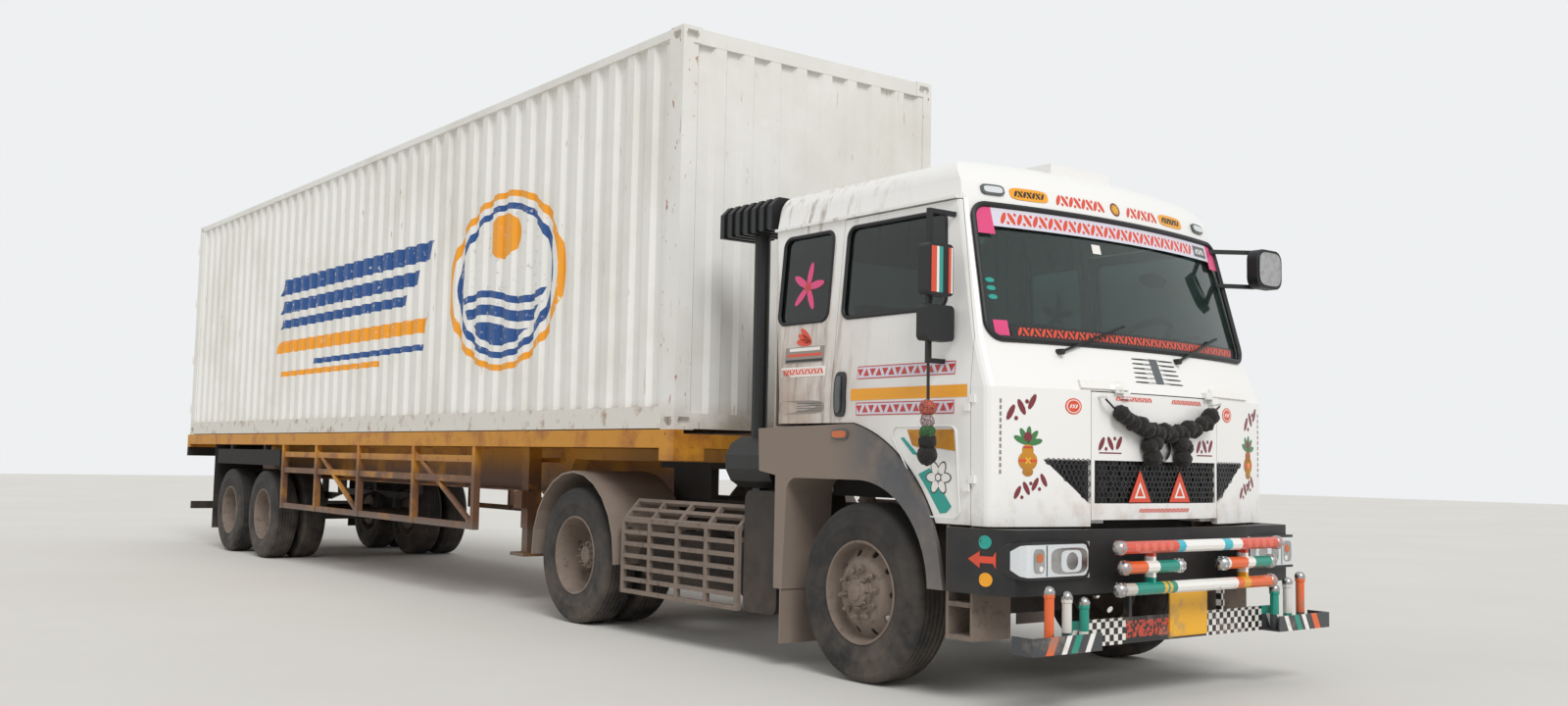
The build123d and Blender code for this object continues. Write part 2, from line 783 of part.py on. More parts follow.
# Wheel boards, mud flaps, rear lamp bars and the underrun bar
with BuildPart() as trailer_flaps:
    pair((board_x[0], board_x[1]), (trailer_axles_y[0] - tyre_r - 60, trailer_axles_y[1] + tyre_r + 60), board_z)
    for y in trailer_axles_y:
        pair((box_half - side_rail_width, board_x[1]), (y - board_arm / 2, y + board_arm / 2), (board_z[1], beam_top_z))
    flap_y = trailer_axles_y[1] + tyre_r + flap_lead
    pair((twin_x - tyre_width / 2, tyre_outer_x), (flap_y, flap_y + flap_thickness), (mud_flap_z, beam_top_z))
    pair((lamp_bar_x, box_half), (trailer_rear_y - lamp_bar_depth, trailer_rear_y),
         (beam_top_z - rear_bolster_depth - lamp_bar_height, beam_top_z - rear_bolster_depth))
    pair((underrun_x, underrun_x + underrun_post), (trailer_rear_y - lamp_bar_depth, trailer_rear_y),
         (underrun_z, beam_top_z - rear_bolster_depth - lamp_bar_height))
    block((-box_half + underrun_post, box_half - underrun_post), (trailer_rear_y - lamp_bar_depth, trailer_rear_y),
          (underrun_z - underrun_height, underrun_z))
save(trailer_flaps, "trailer_flaps")


def wave(start, end, pitch, depth):
    """Points of a row of trapezoid waves from start to end, as (distance, offset) pairs."""
    count = round((end - start) / pitch)
    step = (end - start) / count
    points = [(start, 0)]
    for n in range(count):
        for share, offset in wave_shape:
            points.append((start + (n + share) * step, offset * depth))
    points.append((end, 0))
    return points


def waved_sheet(points, thickness):
    """A band of even depth along a row of waves, as a closed outline."""
    back = [(along, offset - thickness) for along, offset in reversed(points)]
    return points + back


# Box floor: bottom side rails, cross bearers, boards and the eight castings' lower four
with BuildPart() as container_floor:
    pair((box_half - rail_width, box_half), (box_front_y + casting_y, box_rear_y - casting_y),
         (deck_z + casting_lift, deck_z + floor_height))
    block((rail_width - box_half, box_half - rail_width), (box_front_y + casting_y, box_rear_y - casting_y),
          (deck_z + bearer_lift, deck_z + floor_height))
save(container_floor, "container_floor")

# Corrugated side walls with their top rails
with BuildPart() as container_sides:
    points = waved_sheet(wave(box_front_y + post_depth, box_rear_y - post_depth, side_pitch, -wave_depth), sheet)
    with BuildSketch(Plane.XY.offset(deck_z + floor_height)):
        with BuildLine():
            Polyline([(box_half - side_inset + offset, along) for along, offset in points], close=True)
        make_face()
    extrude(amount=box_height - floor_height - top_rail)
    block((box_half - rail_width, box_half), (box_front_y + casting_y, box_rear_y - casting_y),
          (box_top_z - top_rail, box_top_z - casting_lift))
    mirror(about=Plane.YZ)
save(container_sides, "container_sides")

def casting_holes(end_y, way):
    """The oval holes in the side and end faces of the four castings of one end."""
    middle_y = end_y - way * casting_y / 2
    for side in (-1, 1):
        for z in (deck_z + casting_z / 2, box_top_z - casting_z / 2):
            for plane in (Plane((side * box_half, middle_y, z), x_dir=(0, 1, 0), z_dir=(side, 0, 0)),
                          Plane((side * (box_half - casting_x / 2), end_y, z), x_dir=(1, 0, 0), z_dir=(0, way, 0))):
                with BuildSketch(plane) as hole:
                    RegularPolygon(casting_hole[0], 8)
                    Rectangle(3 * casting_hole[0], 2 * casting_hole[1], mode=Mode.INTERSECT)
                extrude(hole.sketch, amount=-casting_hole_depth, mode=Mode.SUBTRACT)


# Front end: corner posts, castings, header, sill and corrugated wall
with BuildPart() as container_front_end:
    for z in (deck_z, box_top_z - casting_z):
        pair((box_half - casting_x, box_half), (box_front_y, box_front_y + casting_y), (z, z + casting_z))
    pair((box_half - post_width, box_half), (box_front_y, box_front_y + post_depth),
         (deck_z + casting_z, box_top_z - casting_z))
    for z in ((deck_z + casting_lift, deck_z + casting_z), (box_top_z - casting_z, box_top_z - casting_lift)):
        block((casting_x - box_half, box_half - casting_x), (box_front_y + casting_lift, box_front_y + rail_width), z)
    points = waved_sheet(wave(post_width - box_half, box_half - post_width, front_pitch, -wave_depth), sheet)
    with BuildSketch(Plane.XY.offset(deck_z + casting_z)):
        with BuildLine():
            Polyline([(along, box_front_y + side_inset - offset) for along, offset in points], close=True)
        make_face()
    extrude(amount=box_height - 2 * casting_z)
    casting_holes(box_front_y, -1)
save(container_front_end, "container_front_end")

# Rear frame: castings, posts, header, sill and the fixed halves of the hinges
hinge_x = box_half + hinge_out
hinge_y = box_rear_y + hinge_out
with BuildPart() as container_rear_frame:
    for z in (deck_z, box_top_z - casting_z):
        pair((box_half - casting_x, box_half), (box_rear_y - casting_y, box_rear_y), (z, z + casting_z))
    pair((box_half - post_width, box_half), (box_rear_y - post_depth, box_rear_y),
         (deck_z + casting_z, box_top_z - casting_z))
    for z in ((deck_z + casting_lift, deck_z + floor_height), (box_top_z - casting_z, box_top_z - casting_lift)):
        block((casting_x - box_half, box_half - casting_x), (box_rear_y - casting_y, box_rear_y - casting_lift), z)
    for side in (-1, 1):
        for z in hinge_heights:
            knuckle_plane = Plane((side * hinge_x, hinge_y, z + hinge_length / 2 + hinge_play))
            round_bar(knuckle_plane, hinge_r, 0, hinge_length / 2)
            bar((side * hinge_x, hinge_y, z + hinge_length * 0.75 + hinge_play),
                (side * (box_half - hinge_out), box_rear_y - hinge_out, z + hinge_length * 0.75 + hinge_play),
                hinge_r, hinge_length / 2)
    casting_holes(box_rear_y, 1)
save(container_rear_frame, "container_rear_frame")

# Roof sheet with its shallow cross ribs
with BuildPart() as container_roof:
    roof_sheet_z = (box_top_z - roof_drop - sheet, box_top_z - roof_drop)
    block((rail_width - box_half, box_half - rail_width), (box_front_y + casting_y, box_rear_y - casting_y), roof_sheet_z)
    block((casting_x - box_half, box_half - casting_x), (box_front_y + rail_width, box_front_y + casting_y), roof_sheet_z)
save(container_roof, "container_roof")

# Rear doors: a panel, lock rods with their brackets and handles, and hinge blades
door_inner_y = box_rear_y - door_recess - door_thickness
door_outer_y = box_rear_y - door_recess
for name, side in (("right", -1), ("left", 1)):
    with BuildPart() as container_door:
        x_edge = box_half - post_width - door_gap
        low, high = sorted((side * door_split / 2, side * x_edge))
        block((low, high), (door_inner_y, door_outer_y), (deck_z + floor_height + door_gap,
                                                         box_top_z - casting_z - door_gap))
        for rod_x in rod_stations:
            rod_plane = Plane((side * rod_x, door_outer_y + rod_stand, deck_z + floor_height + door_gap))
            prism(rod_plane, rod_r, 0, box_height - casting_z - floor_height - 2 * door_gap, 8)
            for z in rod_brackets:
                block((side * rod_x - rod_bracket, side * rod_x + rod_bracket),
                      (door_outer_y, door_outer_y + rod_stand), (z, z + rod_bracket))
        handle_z = deck_z + floor_height + handle_lift
        for rod_x in rod_stations:
            reach = sorted((side * rod_x, side * (rod_x - handle_length)))
            block(reach, (door_outer_y + rod_stand, door_outer_y + rod_stand + rod_r), (handle_z, handle_z + 2 * rod_r))
        for z in hinge_heights:
            knuckle_plane = Plane((side * hinge_x, hinge_y, z))
            round_bar(knuckle_plane, hinge_r, 0, hinge_length / 2)
            blade = sorted((side * hinge_x, side * (x_edge - hinge_leg)))
            block(blade, (hinge_y - hinge_r, hinge_y + hinge_r), (z, z + hinge_length / 2))
            leg = sorted((side * (x_edge - hinge_leg), side * (x_edge - hinge_leg + 2 * hinge_r)))
            block(leg, (door_outer_y, hinge_y), (z, z + hinge_length / 2))
    save(container_door, f"container_door_{name}")


def fa(y):
    """A station given from the front axle."""
    return front_axle_y + y


def side_x(z):
    """Half width of the cab at a height above its waist."""
    return cab_half + (cab_half_gutter - cab_half) * (z - cab_waist_z) / (gutter_z - cab_waist_z)


def front_y(x, z):
    """Station of the cab's front surface beside or above the cowl."""
    low, high = ((cab_waist_z, cab_face), (screen_z[0], cowl_y)) if z < screen_z[0] else (
        (screen_z[0], cowl_y), (gutter_z, header_y))
    share = (z - low[0]) / (high[0] - low[0])
    return fa(low[1] + share * (high[1] - low[1])) + x ** 2 / (2 * cab_bow_r)


def corner_reach(half, station, turn):
    """How far the cab's rounded front corner reaches along a direction turned forwards from its side."""
    radius = cab_axis_y - fa(station)
    corner_y = cab_axis_y - (radius ** 2 - half ** 2) ** 0.5
    middle = radians(corner_sweep / 2)
    return half * cos(turn) - corner_y * sin(turn) - corner_r / cos(middle) * cos(turn - middle) + corner_r


def cab_form(inset):
    """The cab's closed outer form, or that form drawn in by a wall."""
    base = cab_base_z - 3 * inset
    with BuildSketch(Plane.YZ) as side_view:
        with BuildLine():
            Polyline((cab_axis_y, base), (cab_face_y, base), (cab_face_y, cab_waist_z),
                     (fa(cowl_y), screen_z[0]), (fa(header_y), gutter_z), (fa(brow_y), brow_z))
            ThreePointArc((fa(brow_y), brow_z), (fa(brow_y + 90), brow_z + 110), (fa(brow_y + 330), roof_z - 15))
            Polyline((fa(brow_y + 330), roof_z - 15), (fa(0), roof_z), (fa(cab_rear), roof_z - roof_fall),
                     (cab_axis_y, roof_z - roof_fall), (cab_axis_y, base))
        make_face()
        if inset:
            offset(amount=-inset, kind=Kind.INTERSECTION, mode=Mode.REPLACE)
    with BuildSketch(Plane.XZ.offset(wrap - cab_face_y)) as front_view:
        with BuildLine():
            Polyline((0, base), (cab_half - tumble, base), (cab_half, cab_waist_z), (cab_half_gutter, gutter_z),
                     (cab_half_gutter - 22, gutter_z + 110))
            ThreePointArc((cab_half_gutter - 22, gutter_z + 110), (cab_half_gutter - 70, gutter_z + 212),
                          (cab_half_gutter - 190, gutter_z + 256))
            Polyline((cab_half_gutter - 190, gutter_z + 256), (0, roof_z + roof_crown))
            Line((0, roof_z + roof_crown), (0, base))
        make_face()
        mirror(about=Plane.YZ)
        if inset:
            offset(amount=-inset, kind=Kind.INTERSECTION, mode=Mode.REPLACE)
    with BuildPart() as form:
        revolve(side_view.sketch, axis=Axis((0, cab_axis_y, 0), (0, 0, 1)), revolution_arc=cab_wrap_angle)
        for facet in range(1, corner_facets + 1):
            turn = radians(corner_sweep * facet / (corner_facets + 1))
            across = Plane((0, 0, 0), x_dir=(cos(turn), -sin(turn), 0), z_dir=(-sin(turn), -cos(turn), 0))
            top = roof_z + 3 * wrap
            with BuildSketch(across) as corner_view:
                with BuildLine():
                    Polyline((-cab_axis_y - cab_bow_r, base),
                             (corner_reach(cab_half - tumble, cab_face, turn), base),
                             (corner_reach(cab_half, cab_face, turn), cab_waist_z),
                             (corner_reach(side_x(screen_z[0]), cowl_y, turn), screen_z[0]),
                             (corner_reach(cab_half_gutter, header_y, turn), gutter_z),
                             (corner_reach(cab_half_gutter, header_y, turn), top),
                             (-cab_axis_y - cab_bow_r, top), close=True)
                make_face()
                if inset:
                    offset(amount=-inset, kind=Kind.INTERSECTION, mode=Mode.REPLACE)
            extrude(corner_view.sketch, amount=3 * cab_bow_r, both=True, mode=Mode.INTERSECT)
        mirror(about=Plane.YZ)
        extrude(front_view.sketch, amount=-(cab_rear_y - inset - cab_face_y + wrap), mode=Mode.INTERSECT)
    return form.part


def fender_outline(x):
    """Side view of a front fender, at x: its outer edge and the wheel arch."""
    with BuildSketch(Plane.YZ.offset(x)) as view:
        with BuildLine():
            Polyline((fa(-612), fender_foot_z), (fa(-735), fender_foot_z), (fa(-692), 813))
            ThreePointArc((fa(-692), 813), (fa(-400), 1275), (fa(40), fender_top_z))
            Polyline((fa(40), fender_top_z), (fa(950), fender_top_z - 22), (fa(935), 1210), (fa(765), 1185),
                     (fa(765), fender_tail_z), (fa(680), fender_tail_z), (fa(652), 1070))
            ThreePointArc((fa(652), 1070), (fa(620), 1148), (fa(560), arch_top_z))
            Line((fa(560), arch_top_z), (fa(0), arch_top_z))
            ThreePointArc((fa(0), arch_top_z), (fa(-450), 985), (fa(-612), fender_foot_z))
        make_face()
    return view.sketch


def door_hinge(side, way, lift):
    """One half of each hinge of a cab door: a barrel on the door's axis and the leaf that holds it."""
    for z in door_hinge_z:
        low = z + lift
        high = z + lift + door_hinge_length - hinge_play
        round_bar(Plane((side * door_axis_x, fa(door_axis), low)), door_hinge_r, 0, high - low)
        across = sorted((side * (cab_half - 2 * tumble), side * (door_axis_x + door_hinge_r)))
        along = sorted((fa(door_axis) + way * door_hinge_r * 0.6, fa(door_axis) + way * door_leaf))
        block(across, along, (low, high))


def flap_hinge(way, shift):
    """One half of each hinge of the front flap: a barrel on the flap's axis and the leaf that holds it."""
    for x in (-flap_hinge_x, flap_hinge_x):
        low = x + shift
        high = low + flap_hinge_length - hinge_play
        round_bar(Plane((low, flap_axis_y, flap_axis_z), z_dir=(1, 0, 0)), flap_hinge_r, 0, high - low)
        leaf = sorted((flap_axis_z + way * flap_hinge_r * 0.5, flap_axis_z + way * flap_leaf))
        block((low, high), (flap_axis_y - flap_hinge_r, cab_face_y + cab_wall), leaf)


outer_form = cab_form(0)
inner_form = cab_form(cab_wall)
trim_form = cab_form(glass_inset)
pane_form = cab_form(glass_inset + glass_thickness)

with BuildPart() as cab_shell:
    add(outer_form)
    add(inner_form, mode=Mode.SUBTRACT)

# What the cab's sides and doors leave free round the fenders
with BuildPart() as fender_room:
    with BuildSketch(Plane.YZ.offset(-cab_half - wrap)) as room_view:
        with BuildLine():
            Polyline((fa(-745), fender_foot_z - wrap), (fa(-745), fender_foot_z), (fa(-702), 816))
            ThreePointArc((fa(-702), 816), (fa(-407), 1283), (fa(36), fender_top_z + panel_gap))
            Polyline((fa(36), fender_top_z + panel_gap), (cab_rear_y + wrap, fender_top_z + panel_gap),
                     (cab_rear_y + wrap, fender_foot_z - wrap), (fa(-745), fender_foot_z - wrap))
        make_face()
    extrude(room_view.sketch, amount=2 * (cab_half + wrap))

# Outline of each opening, drawn across the cab
with BuildSketch(Plane.XZ.offset(wrap - cab_face_y)) as screen_view:
    with BuildLine():
        Polyline((-screen_half[0], screen_z[0]), (screen_half[0], screen_z[0]), (screen_half[1], screen_z[1]),
                 (-screen_half[1], screen_z[1]), close=True)
    make_face()
    fillet(screen_view.vertices(), screen_corner)
with BuildSketch(Plane.XZ.offset(wrap - cab_face_y)) as grille_view:
    with BuildLine():
        Polyline((-grille_half[0], grille_z[0]), (grille_half[0], grille_z[0]), (grille_half[1], grille_z[1]),
                 (-grille_half[1], grille_z[1]), close=True)
    make_face()
with BuildSketch(Plane.XZ.offset(wrap - cab_face_y)) as flap_grille_view:
    with Locations((0, sum(grille_z) / 2)):
        Rectangle(2 * (flap_half - flap_frame), grille_z[1] - grille_z[0])
with BuildSketch(Plane.XZ.offset(-cab_rear_y - wrap)) as rear_view:
    with Locations((0, sum(rear_window_z) / 2)):
        RectangleRounded(2 * rear_window_half, rear_window_z[1] - rear_window_z[0], window_corner)
with BuildSketch(Plane.YZ) as door_windows:
    with BuildLine():
        Polyline((fa(door_window_y[0]), window_z[0]), (fa(door_window_y[1]), window_z[0]),
                 (fa(door_window_y[1]), window_z[1]), (fa(door_window_y[0] + pillar_lean), window_z[1]), close=True)
    make_face()
    fillet(door_windows.vertices(), window_corner)
with BuildSketch(Plane.YZ) as side_windows:
    with Locations((fa(sum(side_window_y) / 2), sum(window_z) / 2)):
        RectangleRounded(side_window_y[1] - side_window_y[0], window_z[1] - window_z[0], window_corner)
with BuildSketch(Plane.YZ.offset(-cab_half - wrap)) as door_view:
    with BuildLine():
        Polyline((fa(door_front), door_base_z), (fa(door_front), screen_z[0]), (fa(door_front_top), gutter_z - panel_gap),
                 (fa(door_rear) - panel_gap, gutter_z - panel_gap), (fa(door_rear) - panel_gap, door_base_z), close=True)
    make_face()
with BuildSketch(Plane.YZ.offset(-cab_half - wrap)) as front_part_view:
    with BuildLine():
        Polyline((cab_face_y - wrap, cab_base_z), (cab_face_y - wrap, gutter_z), (fa(door_front_top) - panel_gap, gutter_z),
                 (fa(door_front) - panel_gap, screen_z[0]), (fa(door_front) - panel_gap, cab_base_z), close=True)
    make_face()
cab_span = 2 * (cab_half + wrap)
screen_reach = -(screen_depth + wrap)

with BuildPart() as grille_recess:
    add(outer_form)
    add(trim_form, mode=Mode.SUBTRACT)
    extrude(grille_view.sketch, amount=screen_reach, mode=Mode.INTERSECT)

with BuildPart() as cab_front:
    add(cab_shell.part)
    extrude(front_part_view.sketch, amount=cab_span, mode=Mode.INTERSECT)
    extrude(screen_view.sketch, amount=screen_reach, mode=Mode.SUBTRACT)
    block((-flap_half - panel_gap, flap_half + panel_gap), (cab_face_y - wrap, cab_face_y + 2 * cab_wall + wrap),
          (cab_base_z - wrap, flap_z[1] + panel_gap), mode=Mode.SUBTRACT)
    add(grille_recess.part, mode=Mode.SUBTRACT)
    for side in (-1, 1):
        door_hinge(side, -1, door_hinge_length)
    flap_hinge(1, 0)
save(cab_front, "cab_front")

with BuildPart() as cab_roof:
    add(cab_shell.part)
    block((-cab_half - wrap, cab_half + wrap), (cab_face_y - wrap, cab_rear_y + wrap),
          (gutter_z, roof_z + 2 * wrap), mode=Mode.INTERSECT)
    for side in (-1, 1):
        gutter = sorted((side * cab_half_gutter, side * (cab_half_gutter + gutter_out)))
        block(gutter, (fa(header_y) + 180, cab_rear_y), (gutter_z, gutter_z + 16))
    block((-hatch_half, hatch_half), (fa(hatch_y[0]), fa(hatch_y[1])), (roof_z - cab_wall, hatch_z))
save(cab_roof, "cab_roof")

with BuildPart() as cab_rear_wall:
    add(cab_shell.part)
    block((-cab_half - wrap, cab_half + wrap), (cab_rear_y - cab_wall, cab_rear_y), (floor_z, gutter_z),
          mode=Mode.INTERSECT)
    extrude(rear_view.sketch, amount=2 * wrap, both=True, mode=Mode.SUBTRACT)
save(cab_rear_wall, "cab_rear_wall")

with BuildPart() as cab_sides:
    add(cab_shell.part)
    block((-cab_half - wrap, cab_half + wrap), (fa(door_rear), cab_rear_y - cab_wall),
          (cab_base_z, gutter_z), mode=Mode.INTERSECT)
    add(fender_room.part, mode=Mode.SUBTRACT)
    extrude(side_windows.sketch, amount=cab_half + wrap, both=True, mode=Mode.SUBTRACT)
save(cab_sides, "cab_sides")

# Doors with their window, and the pane in each
for name, side in (("right", -1), ("left", 1)):
    with BuildPart() as door:
        add(cab_shell.part)
        reach = sorted((side * cab_half / 2, side * (cab_half + wrap)))
        block(reach, (fa(door_front), fa(door_rear)), (door_base_z, gutter_z), mode=Mode.INTERSECT)
        extrude(door_view.sketch, amount=cab_span, mode=Mode.INTERSECT)
        add(fender_room.part, mode=Mode.SUBTRACT)
        extrude(door_windows.sketch, amount=cab_half + wrap, both=True, mode=Mode.SUBTRACT)
        door_hinge(side, 1, 0)
    save(door, f"door_{name}")

    with BuildPart() as door_pane:
        add(trim_form)
        add(pane_form, mode=Mode.SUBTRACT)
        block(reach, (fa(door_front), fa(door_rear)), (door_base_z, gutter_z), mode=Mode.INTERSECT)
        extrude(door_windows.sketch, amount=cab_half + wrap, both=True, mode=Mode.INTERSECT)
    save(door_pane, f"door_pane_{name}")

with BuildPart() as side_panes:
    add(trim_form)
    add(pane_form, mode=Mode.SUBTRACT)
    extrude(side_windows.sketch, amount=cab_half + wrap, both=True, mode=Mode.INTERSECT)

with BuildPart() as cab_glass:
    add(trim_form)
    add(pane_form, mode=Mode.SUBTRACT)
    extrude(screen_view.sketch, amount=screen_reach, mode=Mode.INTERSECT)
    pane_y = cab_rear_y - cab_wall / 2
    with BuildSketch(Plane.XZ.offset(-pane_y)):
        with Locations((0, sum(rear_window_z) / 2)):
            RectangleRounded(2 * rear_window_half, rear_window_z[1] - rear_window_z[0], window_corner)
    extrude(amount=glass_thickness)
    add(side_panes.part)
save(cab_glass, "cab_glass")

# Front flap: the middle front panel with its grille opening and the garland's two hooks
with BuildPart() as front_flap:
    add(cab_shell.part)
    block((-flap_half, flap_half), (cab_face_y - wrap, cab_face_y + 2 * cab_wall + wrap), flap_z, mode=Mode.INTERSECT)
    extrude(flap_grille_view.sketch, amount=screen_reach, mode=Mode.SUBTRACT)
    for side in (-1, 1):
        hook = Plane((side * hook_x, cab_face_y + hook_back, hook_z), z_dir=(0, -1, 0))
        prism(hook, hook_r, 0, hook_back + hook_out, 8)
    flap_hinge(-1, flap_hinge_length)
save(front_flap, "front_flap")

with BuildPart() as grille_mesh:
    add(trim_form)
    add(pane_form, mode=Mode.SUBTRACT)
    block((-flap_half, flap_half), (cab_face_y - wrap, cab_face_y + 2 * cab_wall + wrap), flap_z, mode=Mode.INTERSECT)
    extrude(flap_grille_view.sketch, amount=screen_reach, mode=Mode.INTERSECT)
    with BuildSketch(Plane.XZ.offset(wrap - cab_face_y)) as cells:
        with Locations((0, sum(grille_z) / 2)):
            with HexLocations(cell_pitch / 2, cell_columns, cell_rows):
                RegularPolygon(cell_half, 6, major_radius=False, rotation=30)
    extrude(cells.sketch, amount=screen_reach, mode=Mode.SUBTRACT)
save(grille_mesh, "grille_mesh")

# Garland: a slack cord between the hooks, with two strands that hang from its middle
with BuildPart() as garland:
    with BuildLine() as swag:
        FilletPolyline(*[(x, garland_y, z) for x, z in garland_route], radius=garland_bend)
    with BuildSketch(Plane(origin=swag.line @ 0, z_dir=swag.line % 0)):
        RegularPolygon(garland_r, 8)
    sweep(path=swag.line)
    for side in (-1, 1):
        prism(Plane((side * strand_x, garland_y, 0)), strand_r, *strand_z, 6)
        hook = Plane((side * hook_x, cab_face_y + hook_back, hook_z), z_dir=(0, -1, 0))
        prism(hook, hook_r, 0, hook_back + hook_out, 8, Mode.SUBTRACT)
save(garland, "garland")

# Front fenders: an outer face and a liner over the wheel
with BuildPart() as fenders:
    for side in (-1, 1):
        extrude(fender_outline(side * fender_x), amount=side * fender_face)
        with BuildSketch(Plane.YZ.offset(side * fender_inner_x)) as liner_view:
            with BuildLine():
                Polyline((fa(-612), fender_foot_z), (fa(-612 - liner), fender_foot_z))
                ThreePointArc((fa(-612 - liner), fender_foot_z), (fa(-450 - liner * 0.75), 985 + liner * 0.75),
                              (fa(0), arch_top_z + liner))
                Polyline((fa(0), arch_top_z + liner), (fa(560), arch_top_z + liner))
                ThreePointArc((fa(560), arch_top_z + liner), (fa(634), 1160), (fa(652 + liner), 1070))
                Polyline((fa(652 + liner), 1070), (fa(680 + liner), fender_tail_z), (fa(680), fender_tail_z),
                         (fa(652), 1070))
                ThreePointArc((fa(652), 1070), (fa(620), 1148), (fa(560), arch_top_z))
                Line((fa(560), arch_top_z), (fa(0), arch_top_z))
                ThreePointArc((fa(0), arch_top_z), (fa(-450), 985), (fa(-612), fender_foot_z))
            make_face()
        extrude(liner_view.sketch, amount=side * (fender_x - fender_inner_x))
        arm = sorted((side * (rail_x + rail_section / 2), side * fender_inner_x))
        block(arm, (fa(-fender_arm), fa(fender_arm)), (arch_top_z, arch_top_z + liner))
        leg = sorted((side * (rail_x + rail_section / 2), side * (rail_x + rail_section / 2 + liner)))
        block(leg, (fa(-fender_arm), fa(fender_arm)), (rail_z[0] + 2 * fender_arm, arch_top_z))
        flap = sorted((side * fender_inner_x, side * (fender_x + fender_face)))
        block(flap, (fa(mud_y), fa(mud_y + flap_thickness)), (mud_z, fender_tail_z))
save(fenders, "fenders")

# Cab floor: pans beside the engine, their sills, the step well and the engine cover
with BuildPart() as cab_floor:
    with BuildSketch(Plane.YZ.offset(-sill_x)) as floor_view:
        with BuildLine():
            Polyline((fa(well_front), well_z), (fa(well_rear), well_z), (fa(well_rear), floor_z),
                     (cab_rear_y - cab_wall, floor_z), (cab_rear_y - cab_wall, floor_z + pan),
                     (fa(well_rear) - pan, floor_z + pan), (fa(well_rear) - pan, well_z + pan),
                     (fa(well_front), well_z + pan), close=True)
        make_face()
    extrude(floor_view.sketch, amount=2 * sill_x)
    block((-tunnel_half, tunnel_half), (fa(well_front) - pan, cab_rear_y), (well_z - pan, tunnel_z), mode=Mode.SUBTRACT)
    pair((tunnel_half, tunnel_half + pan), (fa(well_front), cab_rear_y - cab_wall), (floor_z, tunnel_z))
    pair((tunnel_half, tunnel_half + pan), (fa(well_front), fa(well_rear)), (well_z, floor_z + pan))
    block((-tunnel_half - pan, tunnel_half + pan), (fa(well_front), cab_rear_y - cab_wall), (tunnel_z, tunnel_z + pan))
    pair((sill_x - pan, sill_x), (fa(sill_front), cab_rear_y - cab_wall), (floor_z, fender_top_z - panel_gap))
    add(inner_form, mode=Mode.INTERSECT)
    for y, top in ((cab_mount_y[0], well_z + pan), (cab_mount_y[1], floor_z)):
        pair((rail_x, tunnel_half + pan), (fa(y), fa(y + cab_mount)), (rail_z[1], top))
save(cab_floor, "cab_floor")

# Inside: two seats, the dashboard and the steering wheel on its column
with BuildPart() as cab_interior:
    for x in (-seat_x, seat_x):
        block((x - seat_half, x + seat_half), (fa(seat_y[0]), fa(seat_y[1])), (floor_z + pan, seat_top_z))
        block((x - seat_half, x + seat_half), (fa(seat_y[1]), fa(seat_y[1] + back_depth)), (floor_z + pan, back_top_z))
    block((-dash_half, dash_half), (fa(dash_y[0]), fa(dash_y[1])), dash_z)
    column = Plane((seat_x, fa(dash_y[1]) - 40, dash_z[1] - 40), z_dir=(0, sin(radians(column_lean)), cos(radians(column_lean))),
                   x_dir=(1, 0, 0))
    prism(column, 26, 0, column_length, 8)
    with BuildSketch(column.offset(column_length)) as wheel_view:
        RegularPolygon(steering_r, rim_sides)
        RegularPolygon(steering_r - 32, rim_sides, mode=Mode.SUBTRACT)
        Rectangle(2 * steering_r - 40, 44)
    extrude(wheel_view.sketch, amount=26)
save(cab_interior, "cab_interior")

# Bumper and headlamps
with BuildPart() as bumper:
    with BuildSketch(Plane.XY.offset(bumper_z[0])) as bumper_view:
        with BuildLine():
            Polyline((-bumper_half, fa(bumper_rear)), (-bumper_half, fa(bumper_side)), (-bumper_half + 70, fa(bumper_front + 60)),
                     (-700, fa(bumper_front)), (700, fa(bumper_front)), (bumper_half - 70, fa(bumper_front + 60)),
                     (bumper_half, fa(bumper_side)), (bumper_half, fa(bumper_rear)),
                     (bumper_half - bumper_wall, fa(bumper_rear)), (bumper_half - bumper_wall, fa(bumper_side)),
                     (640, fa(bumper_front + bumper_wall)), (-640, fa(bumper_front + bumper_wall)),
                     (-bumper_half + bumper_wall, fa(bumper_side)), (-bumper_half + bumper_wall, fa(bumper_rear)), close=True)
        make_face()
    extrude(bumper_view.sketch, amount=bumper_z[1] - bumper_z[0])
    pair((rail_x - rail_section / 2, rail_x + rail_section / 2), (fa(bumper_front + bumper_wall), fa(-frame_front)),
         (bumper_z[0] + 130, bumper_z[1] - 60))
    pair((lamp_x[0], lamp_x[1]), (fa(bumper_front - lamp_out), fa(bumper_front + lamp_deep)), lamp_z, mode=Mode.SUBTRACT)
save(bumper, "bumper")

with BuildPart() as lamps:
    pair((lamp_x[0], lamp_x[1]), (fa(bumper_front - lamp_out), fa(bumper_front + lamp_deep)), lamp_z)
save(lamps, "lamps")

# Guard rails: round bars with a ball at each end, on two plates in front of the bumper
with BuildPart() as guard_rails:
    for y, inner, outer, z in guard_table:
        for side in (-1, 1):
            rail = Plane((0, fa(y), z), z_dir=(side, 0, 0))
            prism(rail, guard_bar / 2, inner, outer, guard_sides)
            ball(rail.offset(outer), guard_ball / 2)
            if inner:
                ball(rail.offset(inner), guard_ball / 2)
    pair((guard_arm_x - guard_arm / 2, guard_arm_x + guard_arm / 2), (fa(guard_table[0][0]), fa(bumper_front)),
         (guard_table[-1][-1] - guard_arm / 2, guard_table[0][-1] + guard_arm / 2))
save(guard_rails, "guard_rails")

